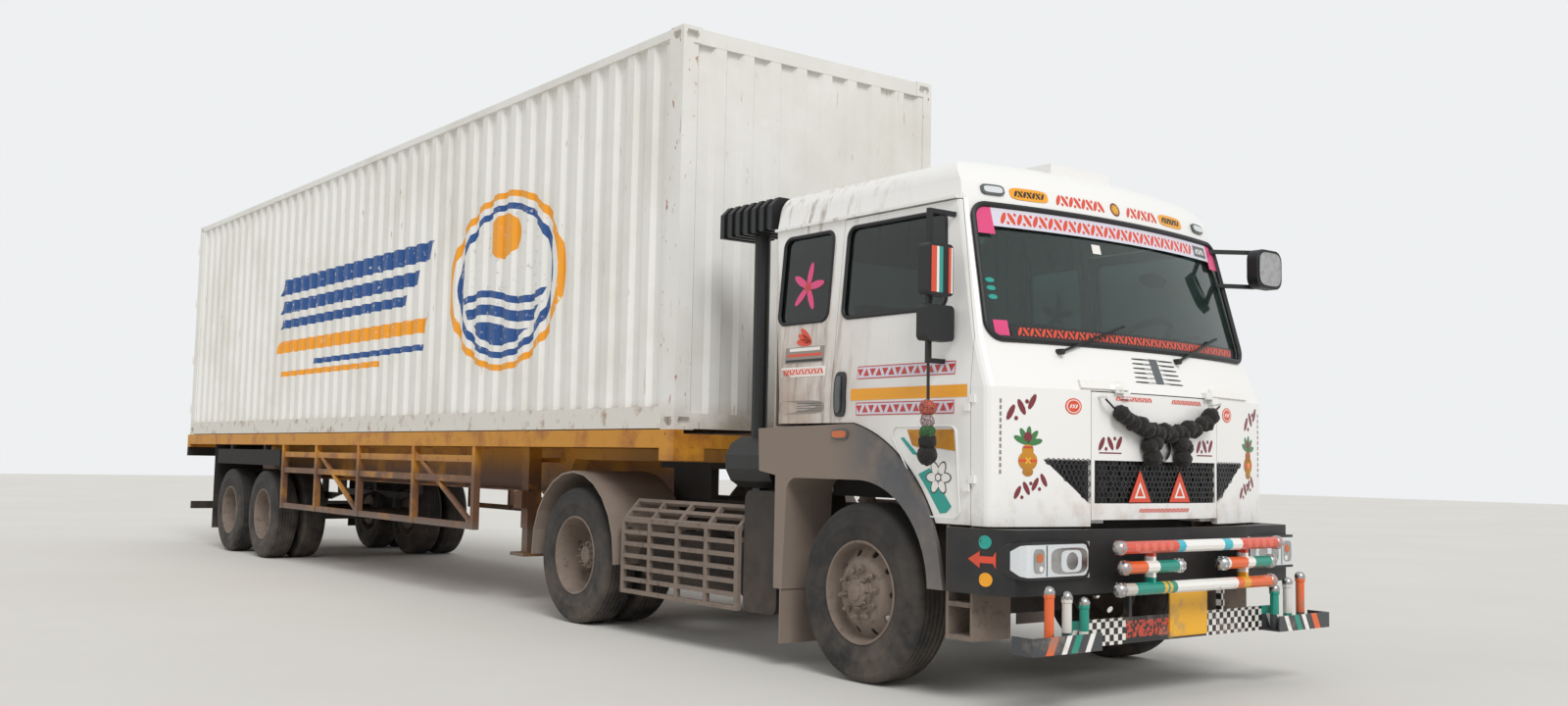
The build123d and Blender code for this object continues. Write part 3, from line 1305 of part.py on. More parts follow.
# Ornament board with a blank plate, and a shelf of posts with ball tops at each end
with BuildPart() as ornament_board:
    block((-board_half, board_half), (fa(board_y), fa(board_y + board_thickness)), ornament_z)
    block(blank_plate_x, (fa(board_y) - blank_plate_thickness, fa(board_y)), blank_plate_z)
    shelf_y = (fa(shelf_front), fa(board_y + board_thickness))
    pair(shelf_x, shelf_y, (ornament_z[0], ornament_z[0] + shelf_wall))
    pair(shelf_x, (shelf_y[0], shelf_y[0] + shelf_wall), (ornament_z[0], ornament_z[0] + shelf_lip))
    pair((shelf_x[1] - shelf_wall, shelf_x[1]), shelf_y, (ornament_z[0], ornament_z[0] + shelf_lip))
    for x, top in post_table:
        for side in (-1, 1):
            post = Plane((side * x, sum(shelf_y) / 2, 0))
            prism(post, post_r, ornament_z[0], top, guard_sides)
            ball(post.offset(top), post_ball)
    pair((guard_arm_x - guard_arm / 2, guard_arm_x + guard_arm / 2), (fa(board_y), fa(bumper_front)),
         (ornament_z[1] - 2 * board_lap, bumper_z[0] + guard_arm))
save(ornament_board, "ornament_board")

# Steps below the doors
with BuildPart() as steps:
    for z in step_z:
        pair((cab_half - step_depth, cab_half - step_inset), (fa(step_y[0]), fa(step_y[1])), (z, z + step_thickness))
    for y in step_y:
        pair((cab_half - step_depth, cab_half - step_inset), (fa(y) - 10, fa(y) + 10), (step_z[0], cab_base_z - panel_gap))
        pair((cab_half - step_depth, sill_x - step_inset), (fa(y) - 10, fa(y) + 10), (step_z[-1], well_z))
save(steps, "steps")

# Tank, battery box and the cages beside the frame
with BuildPart() as tanks:
    block((-tank_x[1], -tank_x[0]), (fa(tank_y[0]), fa(tank_y[1])), tank_z)
    block((tank_x[0], tank_x[1]), (fa(tank_y[0]), fa(tank_y[1])), tank_z)
    fillet(tanks.edges().filter_by(Axis.X), 60)
    pair((rail_x + rail_section / 2, tank_x[0]), (fa(tank_y[0]) + 80, fa(tank_y[1]) - 80), (rail_z[0], rail_z[0] + 60))
    for side in (-1, 1):
        air_tank = Plane((side * air_tank_x, fa(air_tank_y[0]), air_tank_z), z_dir=(0, 1, 0), x_dir=(1, 0, 0))
        prism(air_tank, air_tank_r, 0, air_tank_y[1] - air_tank_y[0], hub_sides)
    for y in (fa(air_tank_y[0]) + 2 * air_tank_arm, fa(air_tank_y[1]) - 3 * air_tank_arm):
        pair((rail_x + rail_section / 2, air_tank_x), (y, y + air_tank_arm),
             (air_tank_z + air_tank_r - cage_bar / 2, air_tank_z + air_tank_r + cage_bar))
save(tanks, "tanks")

# Cages of flat bars: an upright grid, and a grid that slopes inwards above it
with BuildPart() as side_cages:
    cage_length = cage_y[1] - cage_y[0]
    hole_pitch = (cage_length - cage_post) / cage_columns
    cage_middle = fa(sum(cage_y) / 2)
    knee_z = cage_low_z + cage_rows * cage_pitch
    for side in (-1, 1):
        outer = side * (tyre_outer_x - cage_bar)
        upright = Plane((outer, cage_middle, cage_low_z), x_dir=(0, side, 0), z_dir=(side, 0, 0))
        lean = radians(cage_slope)
        sloping = Plane((outer, cage_middle, knee_z), x_dir=(0, side, 0), z_dir=(side * cos(lean), 0, sin(lean)))
        for plane, rows in ((upright, cage_rows), (sloping, cage_slope_rows)):
            with BuildSketch(plane) as grid:
                with Locations((0, rows * cage_pitch / 2 + cage_bar / 2)):
                    Rectangle(cage_length, rows * cage_pitch + cage_bar)
                    with GridLocations(hole_pitch, cage_pitch, cage_columns, rows):
                        Rectangle(hole_pitch - cage_post, cage_pitch - cage_bar, mode=Mode.SUBTRACT)
            extrude(grid.sketch, amount=cage_bar)
        for y in (fa(cage_y[0]), fa(cage_y[1]) - cage_bar):
            inner = sorted((side * (rail_x + rail_section / 2), outer))
            block(inner, (y, y + cage_bar), (cage_arm_z, cage_arm_z + cage_bar))
save(side_cages, "side_cages")

# Drive wheel mudguards on brackets from the frame
with BuildPart() as mudguards:
    arch_z = guard_top_z - guard_reach
    turns = [radians(180 * n / guard_flats) for n in range(guard_flats + 1)]
    outline = []
    for reach, order in ((guard_reach, turns), (guard_reach - guard_wall, turns[::-1])):
        rim_points = [(drive_axle_y + reach * cos(t), arch_z + reach * sin(t)) for t in order]
        outline += [(rim_points[0][0], guard_low_z), *rim_points, (rim_points[-1][0], guard_low_z)]
    with BuildSketch(Plane.YZ.offset(guard_inner_x)) as guard_view:
        with BuildLine():
            Polyline(outline, close=True)
        make_face()
    extrude(guard_view.sketch, amount=cab_half - guard_inner_x)
    frame_side = rail_x + rail_section / 2
    for y in (drive_axle_y - guard_reach, drive_axle_y + guard_reach - guard_bracket):
        along = (y, y + guard_bracket)
        block((frame_side + guard_stand, guard_inner_x + guard_bracket), along, (arch_z, arch_z + guard_bracket))
        block((frame_side + guard_stand, frame_side + guard_bracket), along, (arch_z, rail_z[0] + 2 * guard_bracket))
        block((frame_side, frame_side + guard_bracket), along,
              (rail_z[0] + guard_bracket, rail_z[0] + 2 * guard_bracket))
    mirror(about=Plane.YZ)
save(mudguards, "mudguards")

# Air intake: ribbed head, standpipe and cleaner drum behind the cab
with BuildPart() as snorkel:
    rib_pitch = (head_y[1] - head_y[0] - head_rib) / (head_ribs - 1)
    slices = [(fa(head_y[0]) + n * rib_pitch, head_rib, 0) for n in range(head_ribs)]
    for y, depth, groove in [(fa(head_y[0]), head_y[1] - head_y[0], head_groove), *slices]:
        low, high = head_z[0] + groove, head_z[1] - groove
        reach = head_half - groove
        with BuildSketch(Plane.XZ.offset(-y)) as head_view:
            with BuildLine():
                Polyline((snorkel_x - reach, low), (snorkel_x + reach, low), (snorkel_x + reach, high - head_corner),
                         (snorkel_x + reach - head_corner, high), (snorkel_x - reach + head_corner, high),
                         (snorkel_x - reach, high - head_corner), close=True)
            make_face()
        extrude(head_view.sketch, amount=-depth)
    prism(Plane((snorkel_x, fa(pipe_y), drum_z)), pipe_r, 0, head_z[0] + 2 * head_groove - drum_z, hub_sides)
    prism(Plane((snorkel_x, fa(drum_y[0]), drum_z), z_dir=(0, 1, 0), x_dir=(1, 0, 0)), drum_body_r, 0,
          drum_y[1] - drum_y[0], hub_sides)
    block((snorkel_x, -rail_x - rail_section / 2), (fa(post_y), fa(post_y + 80)),
          (rail_z[1] - 60, rail_z[1]))
    block((snorkel_x - 40, snorkel_x + 40), (fa(post_y), fa(post_y + 80)), (rail_z[1] - 60, drum_z))
save(snorkel, "snorkel")

# Wipers that rest low on the windscreen
with BuildPart() as wipers:
    for x in wiper_pivots:
        pivot_y = front_y(x, wiper_z) + wiper_back
        tip = (x + wiper_length, front_y(x + wiper_length, wiper_z + wiper_rise) - wiper_gap, wiper_z + wiper_rise)
        prism(Plane((x, pivot_y, wiper_z), z_dir=(0, -1, 0)), 16, 0, wiper_out, 8)
        bar((x, pivot_y - wiper_out + wiper_gap, wiper_z), tip, 16, 12)
    add(outer_form, mode=Mode.SUBTRACT)
save(wipers, "wipers")

# Right mirror: a mirror and a larger cover, clamped to a bent arm on the door
with BuildPart() as mirror_right:
    arm_y = fa(mirror_arm_y)
    arm_low, arm_high = mirror_z[0] - arm_drop, mirror_top_z + arm_rise
    for half, heights in ((mirror_half, mirror_z), (cover_half, cover_z)):
        with BuildSketch(Plane.XZ.offset(arm_bar / 2 - arm_y)) as head_view:
            with Locations((-mirror_x, sum(heights) / 2)):
                RectangleRounded(2 * half, heights[1] - heights[0], mirror_corner)
        extrude(head_view.sketch, amount=mirror_depth)
    bar((-mirror_x, arm_y, arm_low), (-mirror_x, arm_y, arm_high), arm_bar, arm_bar)
    for z in (arm_low + arm_bar / 2, arm_high - arm_bar / 2):
        bar((-mirror_x, arm_y, z), (-side_x(z - arm_bar / 2), arm_y, z), arm_bar, arm_bar)
save(mirror_right, "mirror_right")

with BuildPart() as mirror_left:
    with BuildSketch(Plane.XZ.offset(-fa(left_mirror_y[1]))) as head_view:
        with Locations((sum(left_mirror_x) / 2, sum(left_mirror_z) / 2)):
            RectangleRounded(left_mirror_x[1] - left_mirror_x[0], left_mirror_z[1] - left_mirror_z[0],
                             left_mirror_corner)
    extrude(head_view.sketch, amount=left_mirror_y[1] - left_mirror_y[0])
    bar((left_arm_x, fa(left_mirror_y[1]) + arm_bar / 2, left_mirror_z[0]),
        (left_arm_x, fa(left_mirror_y[1]) + arm_bar / 2, left_mirror_z[1]), arm_bar, arm_bar)
    for z in (left_mirror_z[0] + arm_bar / 2, left_mirror_z[1] - arm_bar / 2):
        foot_x = side_x(z) - 2 * corner_r
        bar((left_arm_x, fa(left_mirror_y[1]) + arm_bar / 2, z), (foot_x, front_y(foot_x, z) + arm_bar, z),
            arm_bar, arm_bar)
    add(outer_form, mode=Mode.SUBTRACT)
save(mirror_left, "mirror_left")

# Tassel: beads on a cord below the right mirror's bracket
with BuildPart() as tassel:
    with BuildLine() as strand:
        FilletPolyline(*tassel_route, radius=tassel_bend)
    with BuildSketch(Plane(origin=strand.line @ 0, z_dir=strand.line % 0)):
        RegularPolygon(tassel_r, 8)
    sweep(path=strand.line)
save(tassel, "tassel")
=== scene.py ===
import json
from math import copysign, cos, pi, radians, sin, sqrt, tau

import bpy
from bpy.props import FloatProperty, FloatVectorProperty, IntProperty, PointerProperty
from bpy.types import NodeSocket, Operator, Panel, PropertyGroup
from mathutils import Matrix, Vector


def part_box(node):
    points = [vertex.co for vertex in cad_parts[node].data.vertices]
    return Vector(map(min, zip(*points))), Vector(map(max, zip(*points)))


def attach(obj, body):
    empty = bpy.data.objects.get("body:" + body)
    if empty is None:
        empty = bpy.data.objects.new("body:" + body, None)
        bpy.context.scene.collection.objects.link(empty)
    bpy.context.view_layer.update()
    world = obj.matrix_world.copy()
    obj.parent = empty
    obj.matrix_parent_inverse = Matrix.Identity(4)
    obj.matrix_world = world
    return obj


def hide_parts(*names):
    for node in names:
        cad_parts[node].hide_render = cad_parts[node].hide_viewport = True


bl_info = {
    "name": "Decorated Lorry",
    "version": (1, 0, 0),
    "blender": (4, 5, 0),
    "location": "3D View > Sidebar > Lorry",
    "description": "Finishes, tyres, trim and painted decoration of an articulated lorry",
    "category": "Add Mesh",
}

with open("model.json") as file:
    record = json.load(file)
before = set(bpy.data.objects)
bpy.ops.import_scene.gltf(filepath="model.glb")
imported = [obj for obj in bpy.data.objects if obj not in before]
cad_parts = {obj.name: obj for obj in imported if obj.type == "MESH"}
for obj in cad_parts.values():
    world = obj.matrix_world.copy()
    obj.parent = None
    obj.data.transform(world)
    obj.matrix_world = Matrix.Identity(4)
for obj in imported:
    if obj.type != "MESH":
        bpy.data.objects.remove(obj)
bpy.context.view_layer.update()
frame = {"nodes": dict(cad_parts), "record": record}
nodes = frame["nodes"]

SIDES = {"right": -1, "left": 1}

# Stations of the lorry, in metres, read from the frame
front_axle_y = sum(v.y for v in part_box("front_tyre_right")) / 2
drive_axle_y = sum(v.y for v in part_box("drive_tyres_right")) / 2
trailer_axles_y = [sum(v.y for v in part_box(f"trailer_wheels_{n}_right")) / 2 for n in (1, 2)]
wheel_z = sum(v.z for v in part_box("front_tyre_right")) / 2
tyre_r = wheel_z
tyre_half = (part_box("front_tyre_left")[1].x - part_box("front_tyre_left")[0].x) / 2
front_tyre_x = sum(v.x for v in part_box("front_tyre_left")) / 2
drive_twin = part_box("drive_tyres_left")
twin_x = (drive_twin[1].x - tyre_half, drive_twin[0].x + tyre_half)
twin_middle = sum(twin_x) / 2
box_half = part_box("container_front_end")[1].x

# The bowed front of the cab: its radius and its leaning stages, as (height, station)
bow_r = 4.6
front_stages = ((0.9, -7.595), (1.69, -7.595), (1.954, -7.485), (2.75, -7.275), (2.85, -7.243))
side_stages = ((1.69, 1.24), (2.75, 1.145))


def linear(hex_colour, alpha=1.0):
    """An sRGB hex colour as linear red, green, blue and alpha."""
    channels = [int(hex_colour[n:n + 2], 16) / 255 for n in (1, 3, 5)]
    return (*[c / 12.92 if c <= 0.04045 else ((c + 0.055) / 1.055) ** 2.4 for c in channels], alpha)


def between(stages, z):
    """The value at a height, in a table of (height, value) stages."""
    if z <= stages[0][0]:
        return stages[0][1]
    for (low, first), (high, second) in zip(stages, stages[1:]):
        if z <= high:
            return first + (second - first) * (z - low) / (high - low)
    return stages[-1][1]


def front_y(x, z):
    """Station of the cab's front surface."""
    return between(front_stages, z) + x * x / (2 * bow_r)


# Materials


def add_node(material, kind, inputs=(), **settings):
    """Add one shader node, each of its inputs set to a value or linked to the socket that feeds it."""
    tree = material.node_tree
    node = tree.nodes.new(f"ShaderNode{kind}")
    for name, value in settings.items():
        setattr(node, name, value)
    for socket, value in dict(inputs).items():
        if isinstance(value, NodeSocket):
            tree.links.new(value, node.inputs[socket])
        else:
            node.inputs[socket].default_value = value
    return node


def new_material(name, **finish):
    """A material with its surface shader's sockets set, named with underscores for spaces."""
    material = bpy.data.materials.new(name)
    material.use_nodes = True
    shader = material.node_tree.nodes["Principled BSDF"]
    for socket, value in finish.items():
        shader.inputs[socket.replace("_", " ")].default_value = value
    return material


def feed(material, **sockets):
    """Link sockets of the surface shader."""
    shader = material.node_tree.nodes["Principled BSDF"]
    for socket, source in sockets.items():
        material.node_tree.links.new(source, shader.inputs[socket.replace("_", " ")])


def object_axes(material):
    """Object coordinates as one vector and as separate axes."""
    place = add_node(material, "TexCoord").outputs["Object"]
    return place, add_node(material, "SeparateXYZ", {0: place}).outputs


def off_middle(material, axes):
    """Distance from the lorry's middle, to either side."""
    return add_node(material, "Math", {0: axes[0]}, operation="ABSOLUTE").outputs[0]


def patches(material, size, low, high, stretch=(1, 1, 1)):
    """A mask of soft patches of a size in metres, from 0 below the noise value low to 1 above high."""
    place, _ = object_axes(material)
    scaled = add_node(material, "Mapping", {"Vector": place, "Scale": stretch})
    noise = add_node(material, "TexNoise", {"Vector": scaled.outputs[0], "Scale": 1 / size, "Detail": 6.0,
                                            "Roughness": 0.62})
    return add_node(material, "MapRange", {0: noise.outputs[0], 1: low, 2: high}).outputs[0]


def ramp(material, value, start, end):
    """A mask that goes from 0 to 1 as a value goes from start to end."""
    return add_node(material, "MapRange", {0: value, 1: start, 2: end},
                    interpolation_type="SMOOTHSTEP").outputs[0]


def product(material, *masks):
    """Masks and plain shares multiplied together."""
    result = masks[0]
    for mask in masks[1:]:
        result = add_node(material, "Math", {0: result, 1: mask}, operation="MULTIPLY").outputs[0]
    return result


def inside(material, value, low, high):
    """A mask that is 1 where a value lies between two limits."""
    limits = {0: value, 1: (low + high) / 2, 2: (high - low) / 2}
    return add_node(material, "Math", limits, operation="COMPARE").outputs[0]


def layered(material, under, mask, over):
    """One colour laid over another where a mask is 1."""
    mix = add_node(material, "Mix", {0: mask, 6: under, 7: over}, data_type="RGBA")
    return mix.outputs[2]


def relief(material, size, depth, detail=5.0):
    """Bump of a grain, its size and depth in metres."""
    place, _ = object_axes(material)
    noise = add_node(material, "TexNoise", {"Vector": place, "Scale": 1 / size, "Detail": detail})
    bump = add_node(material, "Bump", {"Strength": 1.0, "Distance": depth, "Height": noise.outputs[0]})
    return bump.outputs[0]


def stripes(material, value, low, high, table):
    """Hard bands of colour along a value; the table gives (end of band, hex colour)."""
    share = add_node(material, "MapRange", {0: value, 1: low, 2: high}).outputs[0]
    bands = add_node(material, "ValToRGB", {0: share})
    bands.color_ramp.interpolation = "CONSTANT"
    starts = [low] + [end for end, _ in table[:-1]]
    stops = bands.color_ramp.elements
    stops[1].position = 1.0
    for number, (start, (_, colour)) in enumerate(zip(starts, table)):
        stop = stops[0] if number == 0 else stops.new((start - low) / (high - low))
        stop.color = linear(colour)
    stops[len(stops) - 1].color = linear(table[-1][1])
    return bands.outputs[0]


def dusty_coat(material, paint, dust, heights, cover, patch):
    """Paint under road dust that thickens from the height given first down to the second."""
    _, axes = object_axes(material)
    fall = ramp(material, axes[2], *heights)
    dirt = product(material, patches(material, patch, 0.36, 0.66), fall, cover)
    return layered(material, paint, dirt, linear(dust))


def tyre_rubber():
    """Tyre rubber filled with carbon black, moulded: near black and dull, greyed with road dust."""
    material = new_material("tyre_rubber", Roughness=0.88, IOR=1.52)
    colour = dusty_coat(material, linear("#2B2A2A"), "#6E6359", (1.3, 0.1), 0.62, 0.22)
    feed(material, Base_Color=colour, Normal=relief(material, 0.004, 0.0006))
    return material


def wheel_enamel():
    """Grey enamel on pressed steel wheels under a thick coat of dried mud: matt and chalky."""
    material = new_material("wheel_enamel", Roughness=0.82)
    rust = layered(material, linear("#7B6E64"), patches(material, 0.05, 0.55, 0.7), linear("#54443A"))
    colour = dusty_coat(material, rust, "#8B7C70", (1.6, 0.3), 0.7, 0.12)
    feed(material, Base_Color=colour, Normal=relief(material, 0.006, 0.0009))
    return material


def chassis_enamel():
    """Dark enamel on rolled steel, dusty and oily: half matt brown-black."""
    material = new_material("chassis_enamel", Roughness=0.72)
    colour = dusty_coat(material, linear("#2C2825"), "#5D5047", (1.4, 0.3), 0.7, 0.3)
    feed(material, Base_Color=colour, Normal=relief(material, 0.01, 0.0008))
    return material


def forged_iron():
    """Forged and cast iron, oily with caked dust: dark, uneven and half matt."""
    material = new_material("forged_iron", Roughness=0.68)
    colour = dusty_coat(material, linear("#34302D"), "#6A5B4F", (1.3, 0.2), 0.65, 0.18)
    feed(material, Base_Color=colour, Normal=relief(material, 0.008, 0.0015))
    return material


def cab_enamel():
    """White baked enamel on pressed steel: glossy, with brown road dust over the low rear of the side."""
    material = new_material("cab_enamel", Roughness=0.30, Coat_Weight=0.4, Coat_Roughness=0.1)
    _, axes = object_axes(material)
    behind = ramp(material, axes[1], -6.9, -5.75)
    low = ramp(material, axes[2], 2.75, 1.5)
    haze = product(material, behind, low, patches(material, 0.9, 0.18, 0.5))
    veil = layered(material, linear("#F0EFEC"), haze, linear("#B09C8C"))
    foot = product(material, ramp(material, axes[2], 1.25, 0.95), patches(material, 0.16, 0.48, 0.76))
    dirty = layered(material, veil, foot, linear("#C9BBAB"))
    runs = patches(material, 0.30, 0.52, 0.74, (5, 5, 0.5))
    stained = layered(material, dirty, product(material, runs, behind), linear("#8A7362"))
    feed(material, Base_Color=stained, Normal=relief(material, 0.25, 0.0008, 2.0))
    return material


def grey_moulding():
    """Grey moulded polypropylene mudguards: matt, bleached and brown with dust, with painted bluish shade at
    the front.
    """
    material = new_material("grey_moulding", Roughness=0.62)
    _, axes = object_axes(material)
    # Painted shade, dark and bluish, over the front half of the arch
    front_shade = product(material, ramp(material, axes[1], -6.1, -6.7), patches(material, 0.30, 0.30, 0.55))
    base = layered(material, linear("#85776C"), front_shade, linear("#50555B"))
    colour = dusty_coat(material, base, "#94857A", (1.6, 0.5), 0.5, 0.3)
    feed(material, Base_Color=colour, Normal=relief(material, 0.003, 0.0003))
    return material


def black_moulding():
    """Black moulded plastic with a fine grain: dull black with a little dust."""
    material = new_material("black_moulding", Roughness=0.5)
    colour = dusty_coat(material, linear("#17181A"), "#4B443F", (1.9, 0.3), 0.35, 0.25)
    feed(material, Base_Color=colour, Normal=relief(material, 0.0025, 0.0003))
    return material


def safety_glass():
    """Tinted laminated glass: clear, dark green and a little dusty, with painted shade in the doors and side
    windows.
    """
    material = new_material("safety_glass", Roughness=0.02, IOR=1.5, Transmission_Weight=0.95)
    film = product(material, patches(material, 0.5, 0.45, 0.8), 0.10)
    _, axes = object_axes(material)
    # Painted shade of the cab's inside: the glass of the doors and side windows is made darker
    side_shade = ramp(material, off_middle(material, axes), 1.11, 1.15)
    tint_and_inner_shade = layered(material, linear("#7D9690"), side_shade, linear("#46524F"))
    feed(material, Base_Color=layered(material, tint_and_inner_shade, film, linear("#8F9A96")))
    return material


def lamp_glass():
    """Clear moulded polycarbonate lamp cover over bright reflectors: glossy and pale."""
    material = new_material("lamp_glass", Roughness=0.12, Coat_Weight=0.6, Metallic=0.3)
    _, axes = object_axes(material)
    # Flutes about 24 mm apart, coarser than the real ones so that they show
    phase = product(material, axes[0], 260.0)
    wave = add_node(material, "Math", {0: phase}, operation="SINE").outputs[0]
    bump = add_node(material, "Bump", {"Distance": 0.0015, "Height": wave})
    patch = patches(material, 0.08, 0.4, 0.7)
    feed(material, Base_Color=layered(material, linear("#C9CED1"), patch, linear("#8E959A")),
         Normal=bump.outputs[0])
    return material


def trailer_enamel():
    """Orange-yellow enamel on rolled steel, worn through to brown rust and dust on the lower bars."""
    material = new_material("trailer_enamel", Roughness=0.55)
    _, axes = object_axes(material)
    worn = layered(material, linear("#C98A22"), patches(material, 0.28, 0.5, 0.66), linear("#A5661F"))
    low = ramp(material, axes[2], 1.36, 1.05)
    rust = product(material, low, patches(material, 0.6, 0.3, 0.5))
    rusty = layered(material, worn, rust, linear("#6B4A35"))
    chips = patches(material, 0.035, 0.64, 0.7)
    colour = layered(material, rusty, chips, linear("#4A3428"))
    grey = product(material, ramp(material, axes[2], 0.72, 0.6), patches(material, 0.5, 0.25, 0.5))
    feed(material, Base_Color=layered(material, colour, grey, linear("#6F625A")),
         Normal=relief(material, 0.012, 0.0009))
    return material


def box_enamel():
    """Off-white marine enamel on corrugated weathering steel: half matt, with rust at edges and runs."""
    material = new_material("box_enamel", Roughness=0.5)
    _, axes = object_axes(material)
    aged = layered(material, linear(livery_white), patches(material, 1.2, 0.45, 0.75), linear("#D8D5CC"))
    runs = patches(material, 0.10, 0.66, 0.74, (3, 3, 0.35))
    rusty = layered(material, aged, runs, linear("#A98E78"))
    flecks = patches(material, 0.03, 0.71, 0.74)
    flecked = layered(material, rusty, flecks, linear("#8A5F45"))
    # The two corner posts of the front end rust more than the walls
    posts = product(material, ramp(material, axes[1], -4.1, -4.2),
                    ramp(material, off_middle(material, axes), 1.02, 1.06),
                    patches(material, 0.05, 0.64, 0.69, (1, 1, 0.5)))
    flecked = layered(material, flecked, posts, linear("#A87A5A"))
    base = product(material, ramp(material, axes[2], 1.72, 1.5), patches(material, 0.4, 0.3, 0.6))
    dusty = layered(material, flecked, base, linear("#BDB2A4"))
    feed(material, Base_Color=livery(material, dusty, axes), Normal=relief(material, 0.05, 0.0007))
    return material


# Plain painted livery of the box's sides: slanted stripes, as (y range, z range, hex colour), and a ringed
# oval with waves and a sun, as (reach, hex colour) and (low, high, hex colour) in shares of the oval
livery_white = "#E9E8E3"
livery_blue = "#1F4E8C"
livery_orange = "#F0A022"
livery_stripes = (
    ((-0.12, 4.23), (3.12, 3.30), livery_blue), ((0.16, 4.23), (2.90, 3.04), livery_blue),
    ((0.44, 4.23), (2.72, 2.82), livery_blue), ((-0.05, 4.27), (2.43, 2.57), livery_orange),
    ((0.07, 3.10), (2.26, 2.32), livery_blue), ((1.10, 4.21), (2.15, 2.21), livery_orange),
)
livery_slant = 0.35
oval_place = (-1.62, 2.78)
oval_half = (1.07, 0.78)
oval_rings = ((1.0, livery_orange), (0.93, livery_white), (0.86, livery_blue), (0.79, livery_white))
oval_bowl = 0.72
oval_waves = ((-0.95, -0.50, livery_blue), (-0.42, -0.30, livery_blue), (-0.22, -0.14, livery_blue))
wave_rate = 4.0
wave_rise = 0.07
oval_sun = (-0.5, -0.185)


def livery(material, under, axes):
    """Lay the box's plain stripes and ringed oval over its enamel, on the side walls only."""
    side = inside(material, off_middle(material, axes), box_half - 0.08, box_half + 0.02)
    worn = product(material, side, patches(material, 0.06, 0.28, 0.40))
    lean = add_node(material, "Math", {0: axes[2], 1: livery_slant, 2: axes[1]},
                    operation="MULTIPLY_ADD").outputs[0]
    colour = under
    for y_range, z_range, paint in livery_stripes:
        shift = livery_slant * sum(z_range) / 2
        band = product(material, worn, inside(material, lean, y_range[0] + shift, y_range[1] + shift),
                       inside(material, axes[2], *z_range))
        colour = layered(material, colour, band, linear(paint))
    place = [add_node(material, "Math", {0: axes[n + 1], 1: oval_place[n]}, operation="SUBTRACT").outputs[0]
             for n in (0, 1)]
    share = [add_node(material, "Math", {0: place[n], 1: oval_half[n]}, operation="DIVIDE").outputs[0]
             for n in (0, 1)]
    total = add_node(material, "Math", {0: product(material, share[0], share[0]),
                                        1: product(material, share[1], share[1])}, operation="ADD").outputs[0]
    for reach, paint in oval_rings:
        ring = product(material, worn, inside(material, total, -reach ** 2, reach ** 2))
        colour = layered(material, colour, ring, linear(paint))
    bowl = product(material, worn, inside(material, total, -oval_bowl ** 2, oval_bowl ** 2))
    swell = product(material, place[0], wave_rate)
    swell = add_node(material, "Math", {0: swell}, operation="SINE").outputs[0]
    height = add_node(material, "Math", {0: swell, 1: -wave_rise, 2: share[1]},
                      operation="MULTIPLY_ADD").outputs[0]
    for low, high, paint in oval_waves:
        wave = product(material, bowl, inside(material, height, low, high))
        colour = layered(material, colour, wave, linear(paint))
    sun = add_node(material, "Math", {0: total, 1: share[1]}, operation="SUBTRACT").outputs[0]
    return layered(material, colour, product(material, worn, inside(material, sun, *oval_sun)),
                   linear(livery_orange))


def plywood():
    """Hardwood plywood floor boards, brown and scuffed, between base rails in the box's white enamel."""
    material = new_material("plywood", Roughness=0.7)
    _, axes = object_axes(material)
    grain = patches(material, 0.02, 0.3, 0.7, (12, 0.6, 12))
    boards = layered(material, linear("#6E5138"), grain, linear("#8A6A4A"))
    rails = add_node(material, "Math", {0: off_middle(material, axes), 1: box_half - 0.03},
                     operation="GREATER_THAN").outputs[0]
    enamel = layered(material, linear("#DEDBD3"), patches(material, 0.12, 0.55, 0.72), linear("#A98E78"))
    feed(material, Base_Color=layered(material, boards, rails, enamel), Normal=relief(material, 0.01, 0.0006))
    return material


def seat_cloth():
    """Woven seat cloth and soft trim: dull brown-grey."""
    material = new_material("seat_cloth", Roughness=0.9, Sheen_Weight=0.3)
    colour = layered(material, linear("#3F3733"), patches(material, 0.05, 0.35, 0.7), linear("#54473F"))
    feed(material, Base_Color=colour, Normal=relief(material, 0.002, 0.0006))
    return material


def flap_rubber():
    """Sheet rubber of mud flaps: matt black with dried mud."""
    material = new_material("flap_rubber", Roughness=0.9)
    colour = dusty_coat(material, linear("#252322"), "#63564B", (1.0, 0.2), 0.7, 0.15)
    feed(material, Base_Color=colour, Normal=relief(material, 0.006, 0.0008))
    return material


# Brushing paints of the guard rails and the ornament board
coral = "#D9533F"
sky_blue = "#2FB6C8"
off_white = "#EFEDE8"
sea_green = "#178F7C"
tangerine = "#E5672F"
mustard = "#E3B33A"
honey = "#E3A52A"
bare_grey = "#C9C4BC"
lip_grey = "#3E4043"
road_grime = "#6F6257"

# Painted bands of the guard rails from right to left, as (end of band, hex colour), upper rail first
bar_start = -0.75
bar_bands = (
    ((-0.25, coral), (-0.19, sky_blue), (0.16, off_white), (0.24, sky_blue), (0.33, off_white),
     (0.75, coral)),
    ((-0.50, tangerine), (-0.40, off_white), (-0.23, sea_green), (0.24, off_white), (0.40, tangerine),
     (0.47, off_white), (0.63, sea_green), (0.75, bare_grey)),
    ((-0.58, bare_grey), (-0.35, sea_green), (-0.32, mustard), (-0.30, sea_green), (-0.28, mustard),
     (-0.24, sea_green), (0.32, off_white), (0.38, tangerine), (0.44, honey), (0.75, tangerine)),
)
# Heights half way between the rails, and the stations between which a rail's paint ends at its back
bar_heights = (0.803, 0.693)
bar_back = (-7.83, -7.80)


